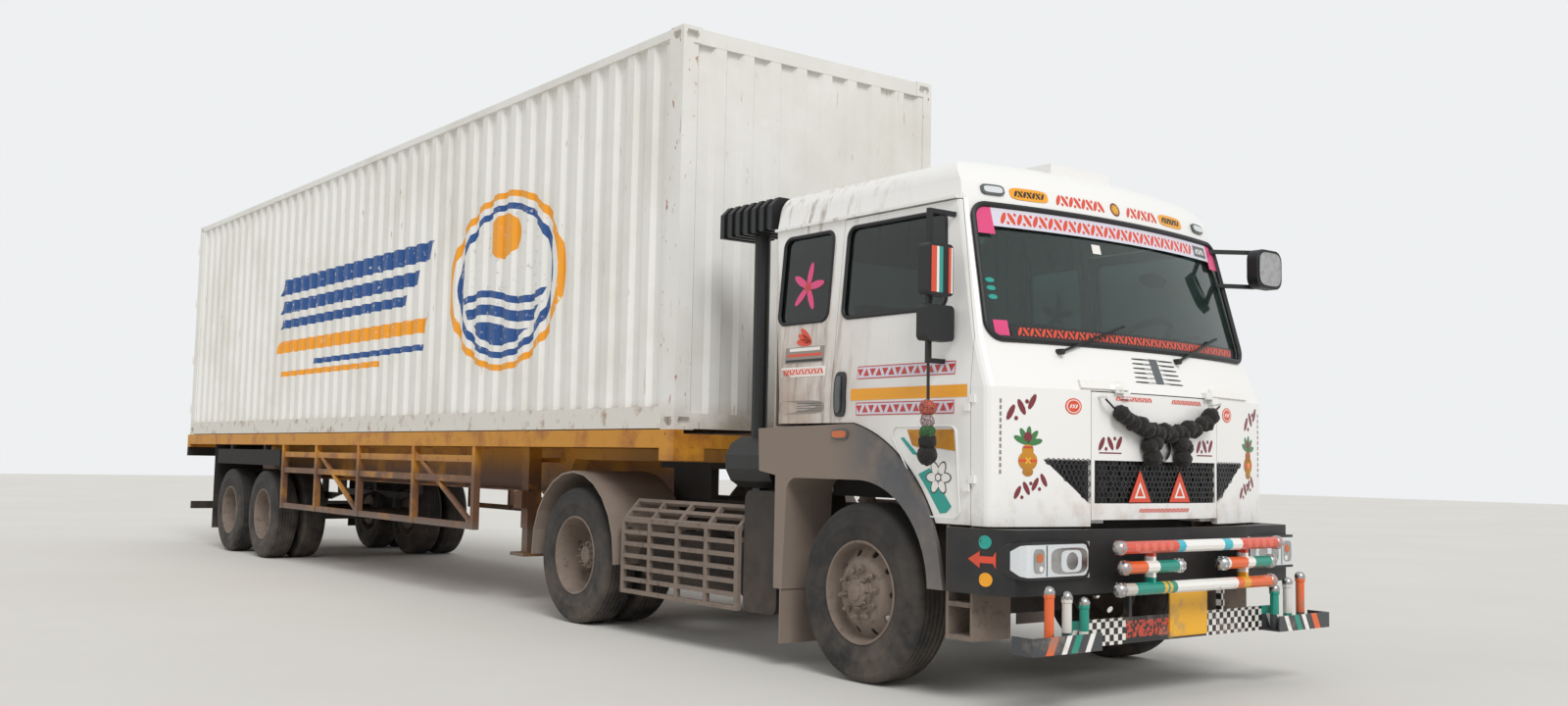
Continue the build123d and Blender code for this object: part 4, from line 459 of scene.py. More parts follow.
def painted_bars():
    """Gloss paint in bands on steel tube: bright, chipped and a little dusty."""
    material = new_material("painted_bars", Roughness=0.32, Coat_Weight=0.35)
    _, axes = object_axes(material)
    colours = [stripes(material, axes[0], bar_start, table[-1][0], table) for table in bar_bands]
    above = [add_node(material, "Math", {0: axes[2], 1: height}, operation="GREATER_THAN").outputs[0]
             for height in bar_heights]
    colour = layered(material, colours[2], above[1], colours[1])
    colour = layered(material, colour, above[0], colours[0])
    worn = layered(material, colour, patches(material, 0.03, 0.66, 0.72), linear(road_grime))
    behind = ramp(material, axes[1], *bar_back)
    feed(material, Base_Color=layered(material, worn, behind, linear("#2A2A2B")),
         Normal=relief(material, 0.01, 0.0004))
    return material


# The ornament board: its checks, the plain plate between them, the painted motif behind that plate, and
# its posts and shelf lips with their bands, as (end of band, hex colour)
check_size = 0.035
board_middle = (-0.46, 0.26)
plate_x = (-0.087, 0.258)
plate_z = (0.34, 0.60)
motif_z = (0.36, 0.45)
shelf_x = (0.80, 1.4)
post_z = (0.425, 0.8)
lip_bands = ((1.06, lip_grey), (1.10, off_white), (1.16, lip_grey), (1.21, sea_green), (1.24, lip_grey),
             (1.28, off_white), (1.34, lip_grey), (1.40, tangerine), (1.55, lip_grey))
post_bands = ((0.93, sea_green), (1.06, "#D9D6CF"), (1.2, tangerine))


def checked_board():
    """Black and white painted checks on sheet steel, with banded posts and shelf lips: gloss paint, dusty."""
    material = new_material("checked_board", Roughness=0.42, Coat_Weight=0.2)
    place, axes = object_axes(material)
    checks = add_node(material, "TexChecker", {"Vector": place, "Scale": 1 / check_size,
                                               "Color1": linear("#E9E6DF"), "Color2": linear("#151517")})
    across = off_middle(material, axes)
    lean = add_node(material, "Math", {0: axes[2], 1: 0.5, 2: across}, operation="MULTIPLY_ADD").outputs[0]
    lips = stripes(material, lean, 0.95, lip_bands[-1][0], lip_bands)
    posts = stripes(material, across, 0.8, post_bands[-1][0], post_bands)
    motif = product(material, inside(material, axes[2], *motif_z), patches(material, 0.022, 0.48, 0.50))
    middle = layered(material, linear("#19191B"), motif, linear("#C8452C"))
    colour = layered(material, checks.outputs[0], inside(material, axes[0], *board_middle), middle)
    plate = product(material, inside(material, axes[0], *plate_x), inside(material, axes[2], *plate_z))
    colour = layered(material, colour, plate, linear("#F0B21E"))
    colour = layered(material, colour, inside(material, across, *shelf_x), lips)
    upright = product(material, inside(material, across, *shelf_x), inside(material, axes[2], *post_z))
    colour = layered(material, colour, upright, posts)
    grubby = layered(material, colour, patches(material, 0.15, 0.55, 0.8), linear("#8B7D70"))
    feed(material, Base_Color=grubby, Normal=relief(material, 0.01, 0.0004))
    return material


def plain_paint(name, colour):
    """Brushed-on gloss paint of one colour, faintly streaked and dusty."""
    material = new_material(name, Roughness=0.42, Coat_Weight=0.2)
    streaks = product(material, patches(material, 0.02, 0.55, 0.8, (1, 1, 4)), 0.25)
    feed(material, Base_Color=layered(material, linear(colour), streaks, linear(road_grime)),
         Normal=relief(material, 0.004, 0.0002))
    return material


def chrome():
    """Chromium plate on steel: bright, with faint brown freckles."""
    material = new_material("chrome", Metallic=1.0, Roughness=0.27)
    colour = layered(material, linear("#B9BABA"), patches(material, 0.05, 0.4, 0.8), linear("#9C9690"))
    feed(material, Base_Color=colour)
    return material


def wool(name, colour):
    """Wound and clipped wool yarn of pompoms: matt and fuzzy."""
    material = new_material(name, Roughness=0.95, Sheen_Weight=0.12)
    shaded = layered(material, linear(colour), patches(material, 0.006, 0.4, 0.6), linear("#2A2422"))
    feed(material, Base_Color=shaded, Normal=relief(material, 0.003, 0.0015))
    return material


paint_colours = {
    "red": "#C23A34", "orange": "#E8862A", "yellow": "#E9B52E", "teal": "#1F9C90", "white": "#EFEDE8",
    "pink": "#E0457E", "maroon": "#7A2730", "green": "#3D7A45", "black": "#141416", "lilac": "#DAD7E4",
    "salmon": "#E0705E", "blush": "#CDB6B8", "amber": "#C96A35", "steel": "#8F857C", "vermilion": "#DD4B2E",
    "saffron": "#F2A51D", "glare": "#D8DCDE", "slate": "#55595C",
}

slot_makers = {
    "tyre": tyre_rubber, "rim": wheel_enamel, "chassis": chassis_enamel, "iron": forged_iron,
    "cab_white": cab_enamel, "grey_plastic": grey_moulding, "black_plastic": black_moulding,
    "glass": safety_glass, "lamp": lamp_glass, "painted_bars": painted_bars, "board": checked_board,
    "orange": trailer_enamel, "box_white": box_enamel, "wood": plywood, "interior": seat_cloth,
    "flap_rubber": flap_rubber,
}
finishes = {}


def finish(name):
    """A material by its slot or paint name, made when it is first asked for."""
    if name not in finishes:
        if name in slot_makers:
            finishes[name] = slot_makers[name]()
        elif name == "chrome":
            finishes[name] = chrome()
        elif name.startswith("wool_"):
            finishes[name] = wool(name, paint_colours[name.removeprefix("wool_")])
        else:
            finishes[name] = plain_paint(f"paint_{name}", paint_colours[name])
    return finishes[name]


# Modelling


def added(kind, at=(0, 0, 0), stretch=(1, 1, 1), turn=(0, 0, 0), paint=None, **more):
    """Add one mesh primitive with its place, stretch and turn applied, in a material."""
    bpy.ops.object.select_all(action="DESELECT")
    getattr(bpy.ops.mesh, f"primitive_{kind}_add")(location=at, rotation=turn, **more)
    piece = bpy.context.object
    piece.scale = stretch
    bpy.ops.object.transform_apply(location=True, rotation=True, scale=True)
    if paint:
        piece.data.materials.append(finish(paint))
    return piece


def joined(name, parts):
    """Join parts into one object."""
    bpy.ops.object.select_all(action="DESELECT")
    for part in parts:
        part.select_set(True)
    bpy.context.view_layer.objects.active = parts[0]
    if len(parts) > 1:
        bpy.ops.object.join()
    parts[0].name = name
    return parts[0]


def modify(piece, kind, **settings):
    """Add a modifier with its settings and apply it."""
    bpy.ops.object.select_all(action="DESELECT")
    piece.select_set(True)
    bpy.context.view_layer.objects.active = piece
    modifier = piece.modifiers.new(kind.lower(), kind)
    for name, value in settings.items():
        setattr(modifier, name, value)
    bpy.ops.object.modifier_apply(modifier=modifier.name)
    return piece


def carried(piece, body, smooth=True):
    """Give a finished piece its body, and smooth its gentle edges."""
    bpy.ops.object.select_all(action="DESELECT")
    piece.select_set(True)
    bpy.context.view_layer.objects.active = piece
    if smooth:
        bpy.ops.object.shade_smooth_by_angle(angle=radians(35))
    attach(piece, body)
    return piece


def turned(name, profile, steps, paint):
    """Spin a closed profile of (along the axle, radius) points about the X axis."""
    piece = added("circle", vertices=len(profile), radius=1.0, paint=paint)
    for vertex, (along, radius) in zip(piece.data.vertices, profile):
        vertex.co = (along, 0.0, radius)
    bpy.ops.object.mode_set(mode="EDIT")
    bpy.ops.mesh.select_all(action="SELECT")
    bpy.ops.mesh.spin(steps=steps, angle=tau, center=(0, 0, 0), axis=(1, 0, 0))
    bpy.ops.mesh.select_all(action="SELECT")
    bpy.ops.mesh.remove_doubles(threshold=0.00005)
    bpy.ops.mesh.normals_make_consistent(inside=False)
    bpy.ops.object.mode_set(mode="OBJECT")
    piece.name = name
    return piece


def copy_at(source, name, at, about=False):
    """A copy with its own mesh, moved to a place, and first turned right about if it faces the other way."""
    piece = source.copy()
    piece.data = source.data.copy()
    piece.name = name
    bpy.context.scene.collection.objects.link(piece)
    if about:
        piece.data.transform(Matrix.Rotation(pi, 4, "Z"))
    piece.data.transform(Matrix.Translation(at))
    return piece


def beading(name, points, radius, paint):
    """A round bead along a closed line of points, turned into a mesh."""
    bpy.ops.object.select_all(action="DESELECT")
    bpy.ops.curve.primitive_bezier_curve_add()
    piece = bpy.context.object
    piece.data.splines.clear()
    line = piece.data.splines.new("POLY")
    line.points.add(len(points) - 1)
    for point, place in zip(line.points, points):
        point.co = (*place, 1.0)
    line.use_cyclic_u = True
    piece.data.dimensions = "3D"
    piece.data.bevel_depth = radius
    piece.data.bevel_resolution = 2
    bpy.ops.object.convert(target="MESH")
    piece = bpy.context.object
    piece.data.materials.append(finish(paint))
    piece.name = name
    return piece


# Flat painted shapes are drawn with u across and v up, then laid on a node of the lorry


def strip(u, v, width, height, paint, layer=0, cuts=24):
    """A band centred at a place, cut across so that it can follow a bowed panel."""
    return added("grid", (u, v, layer), (width, height, 1), paint=paint, size=1, x_subdivisions=cuts,
                 y_subdivisions=2)


def disc(u, v, radius, paint, layer=0, sides=24, stretch=1.0, turn=0.0):
    """A disc, an ellipse, or with few sides a triangle or diamond."""
    return added("circle", (u, v, layer), (stretch, 1, 1), (0, 0, turn), paint=paint, vertices=sides,
                 radius=radius, fill_type="NGON")


def petals(u, v, count, reach, width, paint, layer=0, start=0.0, turn=tau):
    """Leaf shapes round a point."""
    leaves = []
    for n in range(count):
        angle = start + turn * n / count
        leaves.append(disc(u + cos(angle) * reach / 2, v + sin(angle) * reach / 2, reach / 2, paint, layer,
                           12, width / reach, angle - pi / 2))
    return leaves


def flat(corners, paint, layer=0):
    """A shape given by its corners, counter-clockwise."""
    piece = added("circle", (0, 0, layer), paint=paint, vertices=len(corners), radius=1.0, fill_type="NGON")
    for vertex, (u, v) in zip(piece.data.vertices, corners):
        vertex.co.xy = (u, v)
    return piece


def shield(u, v, width, height, paint, layer=0, sides=28):
    """A rectangle with rounded corners."""
    piece = disc(0, 0, 1.0, paint, layer, sides)
    for vertex in piece.data.vertices:
        x, y = vertex.co.xy
        vertex.co.xy = (u + copysign(sqrt(abs(x)), x) * width / 2, v + copysign(sqrt(abs(y)), y) * height / 2)
    return piece


def vine(start, end, v, height, paint, layer=0, slope=0.0):
    """A running ornament of leaves that lean in turn, with a dot between each two."""
    count = max(2, round((end - start) / (height * 0.7)))
    step = (end - start) / count
    parts = []
    for n in range(count):
        u = start + (n + 0.5) * step
        rise = v + slope * (u - (start + end) / 2)
        way = 1 if n % 2 else -1
        parts.append(disc(u, rise, height * 0.5, paint, layer, 10, 0.36, way * 0.5))
        if n < count - 1:
            parts.append(disc(u + step / 2, rise + way * height * 0.32, height * 0.13, paint, layer, 8))
    return parts


# What is drawn lies in layers, and a drawing is laid at a gap from the lorry and then given a thickness
layer_step = 0.0007
paint_gap = 0.0012
paint_thickness = 0.0008

# Where a drawing starts on its way to the lorry, its u and v directions, the axis that it is pressed
# along, and whether it has to be turned over to face outwards
faces = {
    "front": (Vector((0, -8.4, 0)), Vector((1, 0, 0)), Vector((0, 0, 1)), "y", False),
    "right": (Vector((-1.7, 0, 0)), Vector((0, 1, 0)), Vector((0, 0, 1)), "x", True),
    "left": (Vector((1.7, 0, 0)), Vector((0, 1, 0)), Vector((0, 0, 1)), "x", False),
    "rear": (Vector((0, 8.4, 0)), Vector((1, 0, 0)), Vector((0, 0, 1)), "y", True),
}


def placed(name, parts, station, body, thickness=0.001):
    """Stand a joined drawing upright, facing the front, each point at the station given for its place."""
    piece = joined(name, parts)
    for vertex in piece.data.vertices:
        u, v, layer = vertex.co
        vertex.co = (u, station(u, v) - layer * layer_step, v)
    if thickness:
        modify(piece, "SOLIDIFY", thickness=thickness, offset=1.0)
    return carried(piece, body, smooth=False)


def applied(name, parts, face, target, body, thickness=paint_thickness):
    """Lay a joined drawing on a node of the lorry, as thin raised paint."""
    piece = joined(name, parts)
    start, across, up, axis, turned_over = faces[face]
    layers = [vertex.co.z for vertex in piece.data.vertices]
    for vertex in piece.data.vertices:
        vertex.co = start + across * vertex.co.x + up * vertex.co.y
    if turned_over:
        piece.data.flip_normals()
    drawn = [vertex.co.copy() for vertex in piece.data.vertices]
    direction = {f"use_project_{axis}": True}
    modify(piece, "SHRINKWRAP", target=nodes[target], wrap_method="PROJECT", use_positive_direction=True,
           use_negative_direction=True, offset=paint_gap, **direction)
    missed = [tuple(round(c, 3) for c in before) for vertex, before in zip(piece.data.vertices, drawn)
              if (vertex.co - before).length < 0.01]
    if missed:
        raise RuntimeError(f"{name} reaches past {target} at {missed[0]}")
    outwards = start.normalized()
    for vertex, layer in zip(piece.data.vertices, layers):
        vertex.co += outwards * layer * layer_step
    modify(piece, "SOLIDIFY", thickness=thickness, offset=1.0)
    return carried(piece, body, smooth=False)


# Pieces of the lorry

# The camera's place and angles, worked out from the corners of the 40 ft box in the photograph's frame
camera_place = Vector((-6.581, -12.553, 1.273))
camera_yaw = radians(37.77)
camera_pitch = radians(4.438)
camera_roll = radians(1.114)
sensor_width = 36

# The key light's strength, spread and direction, and the strength of the light from the sky
key_strength = 1.55
key_spread = radians(25)
key_turn = (radians(48), 0, radians(-22))
sky_strength = 0.64


class LorrySizes(PropertyGroup):
    """Sizes that a user may change."""

    lens: FloatProperty(name="Lens", description="Focal length on a 36 mm sensor",
                        default=31.94, unit="CAMERA")
    tread_depth: FloatProperty(name="Tread depth", description="Depth of the tread's grooves",
                               default=0.009, unit="LENGTH")
    wheel_nuts: IntProperty(name="Wheel nuts", description="Nuts on each wheel", default=10, min=6)
    nut_circle: FloatProperty(name="Nut circle", description="Radius of the ring of wheel nuts",
                              default=0.142, unit="LENGTH")
    gasket: FloatProperty(name="Gasket", description="Radius of the windscreen's rubber",
                          default=0.017, unit="LENGTH")
    pompom: FloatProperty(name="Pompom", description="Radius of the garland's pompoms",
                          default=0.047, unit="LENGTH")


class LorryColours(PropertyGroup):
    """Colours that a user may change."""

    floor: FloatVectorProperty(name="Floor", description="Floor colour", subtype="COLOR", size=4,
                               min=0, max=1, default=linear("#DDDBD6"))
    sky: FloatVectorProperty(name="Backdrop", description="Backdrop colour", subtype="COLOR", size=4,
                             min=0, max=1, default=linear("#EEF0F1"))


class LORRY_OT_stage(Operator):
    """Add the camera, the pale floor and the soft light"""

    bl_idname = "lorry.stage"
    bl_label = "Stage"

    def execute(self, context):
        scene = context.scene
        scene.view_settings.view_transform = "Standard"
        forward = Vector((sin(camera_yaw) * cos(camera_pitch), cos(camera_yaw) * cos(camera_pitch),
                          sin(camera_pitch)))
        level = Vector((cos(camera_yaw), -sin(camera_yaw), 0))
        upright = level.cross(forward)
        right = level * cos(camera_roll) + upright * sin(camera_roll)
        up = upright * cos(camera_roll) - level * sin(camera_roll)
        lens = bpy.data.cameras.new("camera")
        lens.sensor_width = sensor_width
        lens.lens = scene.lorry_sizes.lens
        lens.clip_end = 200
        camera = bpy.data.objects.new("camera", lens)
        scene.collection.objects.link(camera)
        turn = Matrix((right, up, -forward)).transposed().to_4x4()
        camera.matrix_world = Matrix.Translation(camera_place) @ turn
        scene.camera = camera

        floor = added("plane", (0, 0, 0), (60, 60, 1), size=2)
        floor.name = "floor"
        ground = new_material("floor_plaster", Roughness=0.9)
        tone = layered(ground, scene.lorry_colours.floor, patches(ground, 3.0, 0.3, 0.9), linear("#D6D3CD"))
        feed(ground, Base_Color=tone)
        floor.data.materials.append(ground)

        world = bpy.data.worlds.new("studio")
        scene.world = world
        world.use_nodes = True
        tree = world.node_tree
        shown = tree.nodes["Background"]
        shown.inputs[0].default_value = scene.lorry_colours.sky
        lit = tree.nodes.new("ShaderNodeBackground")
        lit.inputs[0].default_value = (1, 1, 1, 1)
        lit.inputs[1].default_value = sky_strength
        rays = tree.nodes.new("ShaderNodeLightPath")
        seen = rays.outputs["Is Camera Ray"]
        for kind in ("Is Transmission Ray", "Is Glossy Ray"):
            either = tree.nodes.new("ShaderNodeMath")
            either.operation = "MAXIMUM"
            tree.links.new(seen, either.inputs[0])
            tree.links.new(rays.outputs[kind], either.inputs[1])
            seen = either.outputs[0]
        mix = tree.nodes.new("ShaderNodeMixShader")
        tree.links.new(seen, mix.inputs[0])
        tree.links.new(lit.outputs[0], mix.inputs[1])
        tree.links.new(shown.outputs[0], mix.inputs[2])
        tree.links.new(mix.outputs[0], tree.nodes["World Output"].inputs[0])

        sun = bpy.data.lights.new("key", "SUN")
        sun.energy = key_strength
        sun.angle = key_spread
        key = bpy.data.objects.new("key", sun)
        key.rotation_euler = key_turn
        scene.collection.objects.link(key)
        return {"FINISHED"}


class LORRY_OT_garland(Operator):
    """Hang the garland of pompoms between its two hooks"""

    bl_idname = "lorry.garland"
    bl_label = "Garland"

    route = ((-0.520, -7.617, 1.645), (-0.395, -7.617, 1.560), (-0.210, -7.617, 1.489), (0.0, -7.617, 1.466),
             (0.210, -7.617, 1.489), (0.395, -7.617, 1.560), (0.520, -7.617, 1.645))
    cord_r = 0.006
    # Spacing of the pompoms, half of the width that they fill, and how far in front of the cord they sit
    spacing = 0.056
    bare = 0.44
    out = 0.018
    # The two strands that hang from it, and their pompoms' sideways step, height and share of the usual
    # radius
    strand_x = 0.105
    strand_z = (1.480, 1.390, 1.300)
    strand_pompoms = ((0.012, 1.412, 1.05), (0.058, 1.396, 1.0), (0.030, 1.330, 1.15))

    def execute(self, context):
        radius = context.scene.lorry_sizes.pompom
        cord = hung_cord("garland_cord", self.route, self.cord_r, "black")
        places = [place for place in along(cord, self.spacing) if abs(place.x) < self.bare]
        beads = []
        for n, place in enumerate(places):
            sway = Vector((0.006 * sin(5 * n), 0.005 * cos(7 * n) - self.out, 0.010 * sin(3 * n)))
            beads.append(pompom(place + sway, radius * (1 + 0.10 * sin(11 * n)), "wool_black", n))
        self.hang(cord, self.route, self.cord_r, "object", beads)
        for name, side in SIDES.items():
            route = [(side * self.strand_x, self.route[0][1], z) for z in self.strand_z]
            strand = hung_cord(f"garland_strand_{name}", route, self.cord_r, "black")
            station = self.route[0][1] - self.out
            beads = [pompom(Vector((side * (self.strand_x + step), station, z)), radius * share,
                            "wool_black", n) for n, (step, z, share) in enumerate(self.strand_pompoms)]
            self.hang(strand, route, self.cord_r, "knot", beads)
        return {"FINISHED"}

    def hang(self, cord, route, radius, far_end, beads):
        pompoms = carried(joined(f"{cord.name}_pompoms", beads), "front_flap")
        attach(cord, "front_flap")
        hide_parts("garland")
        run_length(cord)


class LORRY_OT_tassel(Operator):
    """Hang the tassel of wool balls from the right mirror's bracket"""

    bl_idname = "lorry.tassel"
    bl_label = "Tassel"

    # Where the cord hangs, across and along the lorry
    x, y = -1.345, -7.075
    route = ((x, y, 1.8194), (-1.339, y, 1.550), (x, y, 1.260))
    cord_r = 0.009
    # Wool balls down the cord, as (z, radius, finish)
    balls = ((1.575, 0.046, "wool_salmon"), (1.505, 0.040, "wool_blush"), (1.445, 0.044, "wool_green"),
             (1.392, 0.050, "wool_black"), (1.320, 0.055, "wool_black"))

    def execute(self, context):
        cord = hung_cord("tassel_cord", self.route, self.cord_r, "black")
        beads = [pompom(Vector((self.x, self.y, z)), radius, paint, n)
                 for n, (z, radius, paint) in enumerate(self.balls)]
        wool_balls = carried(joined("tassel_balls", beads), "door_right")
        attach(cord, "door_right")
        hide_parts("tassel")
        run_length(cord)
        return {"FINISHED"}


def hung_cord(name, route, radius, paint):
    """A round cord on a smooth line through its route's points."""
    line = bpy.data.curves.new(name, "CURVE")
    line.dimensions = "3D"
    spline = line.splines.new("NURBS")
    spline.points.add(len(route) - 1)
    for point, place in zip(spline.points, route):
        point.co = (*place, 1.0)
        point.radius = radius
    spline.order_u = 3
    spline.use_endpoint_u = True
    spline.resolution_u = 12
    line.bevel_depth = 1.0
    line.bevel_resolution = 3
    line.use_fill_caps = True
    line.materials.append(finish(paint))
    cord = bpy.data.objects.new(name, line)
    bpy.context.scene.collection.objects.link(cord)
    return cord


def centre_line(cord):
    """Points along a cord's own line."""
    thickness = cord.data.bevel_depth
    cord.data.bevel_depth = 0
    bpy.context.view_layer.update()
    mesh = bpy.data.meshes.new_from_object(cord.evaluated_get(bpy.context.evaluated_depsgraph_get()))
    points = [vertex.co.copy() for vertex in mesh.vertices]
    cord.data.bevel_depth = thickness
    return points


def run_length(cord):
    """Length of a cord along its own line."""
    points = centre_line(cord)
    return sum((b - a).length for a, b in zip(points, points[1:]))


def along(cord, step):
    """Evenly spaced points along a cord."""
    points = centre_line(cord)
    places = []
    left = step / 2
    for a, b in zip(points, points[1:]):
        run = (b - a).length
        while left <= run:
            places.append(a + (b - a) * left / run)
            left += step
        left -= run
    return places


def pompom(at, radius, paint, seed):
    """A clipped wool ball: a subdivided sphere whose surface is pushed in and out by tufts."""
    ball = added("ico_sphere", subdivisions=3, radius=radius, paint=paint)
    tufts = bpy.data.textures.new("tufts", "CLOUDS")
    tufts.noise_scale = radius * 0.4
    for vertex in ball.data.vertices:
        wave = sin(vertex.co.x * 420 + seed) * sin(vertex.co.y * 380 + 2 * seed) * sin(vertex.co.z * 400)
        vertex.co *= 1 + 0.10 * wave
    modify(ball, "DISPLACE", texture=tufts, strength=radius * 0.35, mid_level=0.5)
    ball.data.transform(Matrix.Translation(at))
    return ball


class LORRY_OT_finishes(Operator):
    """Give every construction node the material of its slot"""

    bl_idname = "lorry.finishes"
    bl_label = "Finishes"

    # Nodes whose enamel is another one than their slot's: the tanks are in the frame's dark enamel
    others = {"tanks": "chassis", "garland": "interior", "tassel": "interior"}

    def execute(self, context):
        slots = {part["node"]: part["material_slot"] for part in frame["record"]["subparts"]}
        for name, node in nodes.items():
            slot = self.others.get(name, slots[name])
            node.data.materials.clear()
            node.data.materials.append(finish(slot))
            node.data.shade_smooth()
            node.data.set_sharp_from_angle(angle=radians(28))
        return {"FINISHED"}


def tyre_profile(depth):
    """Closed section of a tyre: beads, sidewalls with two raised rings, and a ribbed tread."""
    half = [(0.100, 0.286), (0.116, 0.288), (0.124, 0.305), (0.134, 0.345), (0.139, 0.385), (0.1405, 0.388),
            (0.1405, 0.396), (0.139, 0.400), (0.1385, 0.440), (0.134, 0.470), (0.1355, 0.473), (0.134, 0.484),
            (0.128, 0.496), (0.118, 0.508), (0.104, 0.5165)]
    ribs = [0.086, 0.052, 0.017]
    groove = 0.0055
    tread = []
    for middle in ribs:
        tread += [(middle + groove, tyre_r), (middle + groove * 0.6, tyre_r - depth),
                  (middle - groove * 0.6, tyre_r - depth), (middle - groove, tyre_r)]
    outer = half + tread
    return outer + [(-along_axle, radius) for along_axle, radius in reversed(outer)]


# Closed sections of the wheels and hubs, as (along the axle, radius)
front_rim_profile = (
    (0.124, 0.302), (0.131, 0.298), (0.129, 0.289), (0.114, 0.281), (0.062, 0.277), (0.042, 0.268),
    (0.050, 0.252), (0.092, 0.200), (0.106, 0.183), (0.113, 0.170), (0.113, 0.100), (0.101, 0.100),
    (0.101, 0.168), (0.082, 0.198), (0.030, 0.262), (-0.114, 0.276), (-0.129, 0.287), (-0.131, 0.297),
    (-0.124, 0.302), (-0.112, 0.289), (0.112, 0.289),
)
front_hub_profile = (
    (0.060, 0.0005), (0.060, 0.103), (0.120, 0.103), (0.126, 0.099), (0.128, 0.086), (0.134, 0.080),
    (0.150, 0.078), (0.156, 0.070), (0.157, 0.055), (0.160, 0.048), (0.172, 0.046), (0.177, 0.036),
    (0.178, 0.0005),
)
twin_rim_profile = (
    (0.290, 0.302), (0.299, 0.298), (0.297, 0.288), (0.282, 0.281), (0.150, 0.274), (0.120, 0.264),
    (0.060, 0.258), (0.034, 0.238), (0.024, 0.212), (0.018, 0.196), (0.018, 0.100), (-0.002, 0.100),
    (-0.002, 0.205), (-0.030, 0.260), (-0.282, 0.278), (-0.297, 0.287), (-0.299, 0.297), (-0.290, 0.302),
    (-0.276, 0.289), (0.276, 0.289),
)
twin_hub_profile = (
    (-0.286, 0.0005), (-0.286, 0.200), (-0.010, 0.200), (-0.004, 0.104), (0.060, 0.104), (0.072, 0.096),
    (0.150, 0.092), (0.160, 0.104), (0.172, 0.104), (0.178, 0.094), (0.186, 0.074), (0.200, 0.066),
    (0.204, 0.0005),
)


def nut_ring(count, circle, face, size=0.016):
    """Wheel nuts on their washers, round a circle."""
    parts = []
    for n in range(count):
        angle = tau * n / count + 0.16
        y, z = circle * cos(angle), circle * sin(angle)
        parts.append(added("cylinder", (face + 0.003, y, z), turn=(0, pi / 2, 0), paint="rim", vertices=16,
                           radius=size * 1.35, depth=0.008))
        parts.append(added("cone", (face + 0.020, y, z), turn=(angle, pi / 2, 0), paint="rim", vertices=6,
                           radius1=size * 1.1, radius2=size * 0.95, depth=0.030))
        parts.append(added("cylinder", (face + 0.040, y, z), turn=(0, pi / 2, 0), paint="rim", vertices=10,
                           radius=size * 0.6, depth=0.014))
    return parts


def hand_holes(rim, circle, radius):
    """Cut the round hand holes through a wheel's disc, ten on a circle."""
    count = 10
    cutters = [added("cylinder", (0.07, circle * cos(tau * n / count), circle * sin(tau * n / count)),
                     turn=(0, pi / 2, 0), vertices=14, radius=radius, depth=0.09) for n in range(count)]
    cutter = joined("cutter", cutters)
    modify(rim, "BOOLEAN", operation="DIFFERENCE", solver="EXACT", object=cutter)
    bpy.data.objects.remove(cutter)
    return rim


class LORRY_OT_wheels(Operator):
    """Fit ribbed tyres and pressed wheels with their nuts and hubs"""

    bl_idname = "lorry.wheels"
    bl_label = "Wheels"

    # Faces round a tyre, a rim and a hub
    tyre_steps = 64
    rim_steps = 48
    hub_steps = 32

    def execute(self, context):
        sizes = context.scene.lorry_sizes
        tyre = turned("tyre", tyre_profile(sizes.tread_depth), self.tyre_steps, "tyre")
        front = hand_holes(turned("front_wheel", front_rim_profile, self.rim_steps, "rim"), 0.232, 0.021)
        front = joined("front_wheel", [front, turned("front_hub", front_hub_profile, self.hub_steps, "rim"),
                                       *nut_ring(sizes.wheel_nuts, sizes.nut_circle, 0.113),
                                       *nut_ring(8, 0.088, 0.124, 0.007)])
        twin = hand_holes(turned("twin_wheel", twin_rim_profile, self.rim_steps, "rim"), 0.236, 0.020)
        twin = joined("twin_wheel", [twin, turned("twin_hub", twin_hub_profile, self.hub_steps, "rim"),
                                     *nut_ring(sizes.wheel_nuts, 0.150, 0.018),
                                     *nut_ring(10, 0.084, 0.176, 0.007)])
        for name, side in SIDES.items():
            away = side < 0
            place = Vector((side * front_tyre_x, front_axle_y, wheel_z))
            body = f"front_wheel_{name}"
            outer = carried(copy_at(tyre, f"tyre_front_{name}", place, away), body)
            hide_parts(f"front_tyre_{name}")
            wheel = carried(copy_at(front, f"wheel_front_{name}", place, away), body)
            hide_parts(f"front_rim_{name}")
            stations = (("drive_wheels", drive_axle_y), ("trailer_wheels_1", trailer_axles_y[0]),
                        ("trailer_wheels_2", trailer_axles_y[1]))
            for group, y in stations:
                body = f"{group}_{name}"
                pair = [copy_at(tyre, f"tyre_{n}", Vector((side * x, y, wheel_z)), away)
                        for n, x in enumerate(twin_x)]
                tyres = carried(joined(f"tyres_{body}", pair), body)
                place = Vector((side * twin_middle, y, wheel_z))
                rims = carried(copy_at(twin, f"wheels_{body}", place, away), body)
                if group == "drive_wheels":
                    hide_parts(f"drive_tyres_{name}")
                    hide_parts(f"drive_rims_{name}")
                else:
                    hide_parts(body)
        for pattern in (tyre, front, twin):
            bpy.data.objects.remove(pattern)
        return {"FINISHED"}


def rounded_outline(corners, radius, steps=8):
    """Points round a four-cornered opening whose corners are arcs, given as (u, v) pairs in order."""
    points = []
    count = len(corners)
    for n, corner in enumerate(corners):
        here = Vector(corner)
        before = (Vector(corners[n - 1]) - here).normalized()
        after = (Vector(corners[(n + 1) % count]) - here).normalized()
        half = before.angle(after) / 2
        centre = here + (before + after).normalized() * radius / sin(half)
        tangent = radius * cos(half) / sin(half)
        start = (here + before * tangent - centre).normalized()
        end = (here + after * tangent - centre).normalized()
        for step in range(steps + 1):
            points.append(centre + start.slerp(end, step / steps) * radius)
    return points


def fine(points, step):
    """The same outline with points no further apart than a step."""
    result = []
    for a, b in zip(points, points[1:] + points[:1]):
        count = max(1, int((b - a).length / step))
        result += [a + (b - a) * n / count for n in range(count)]
    return result


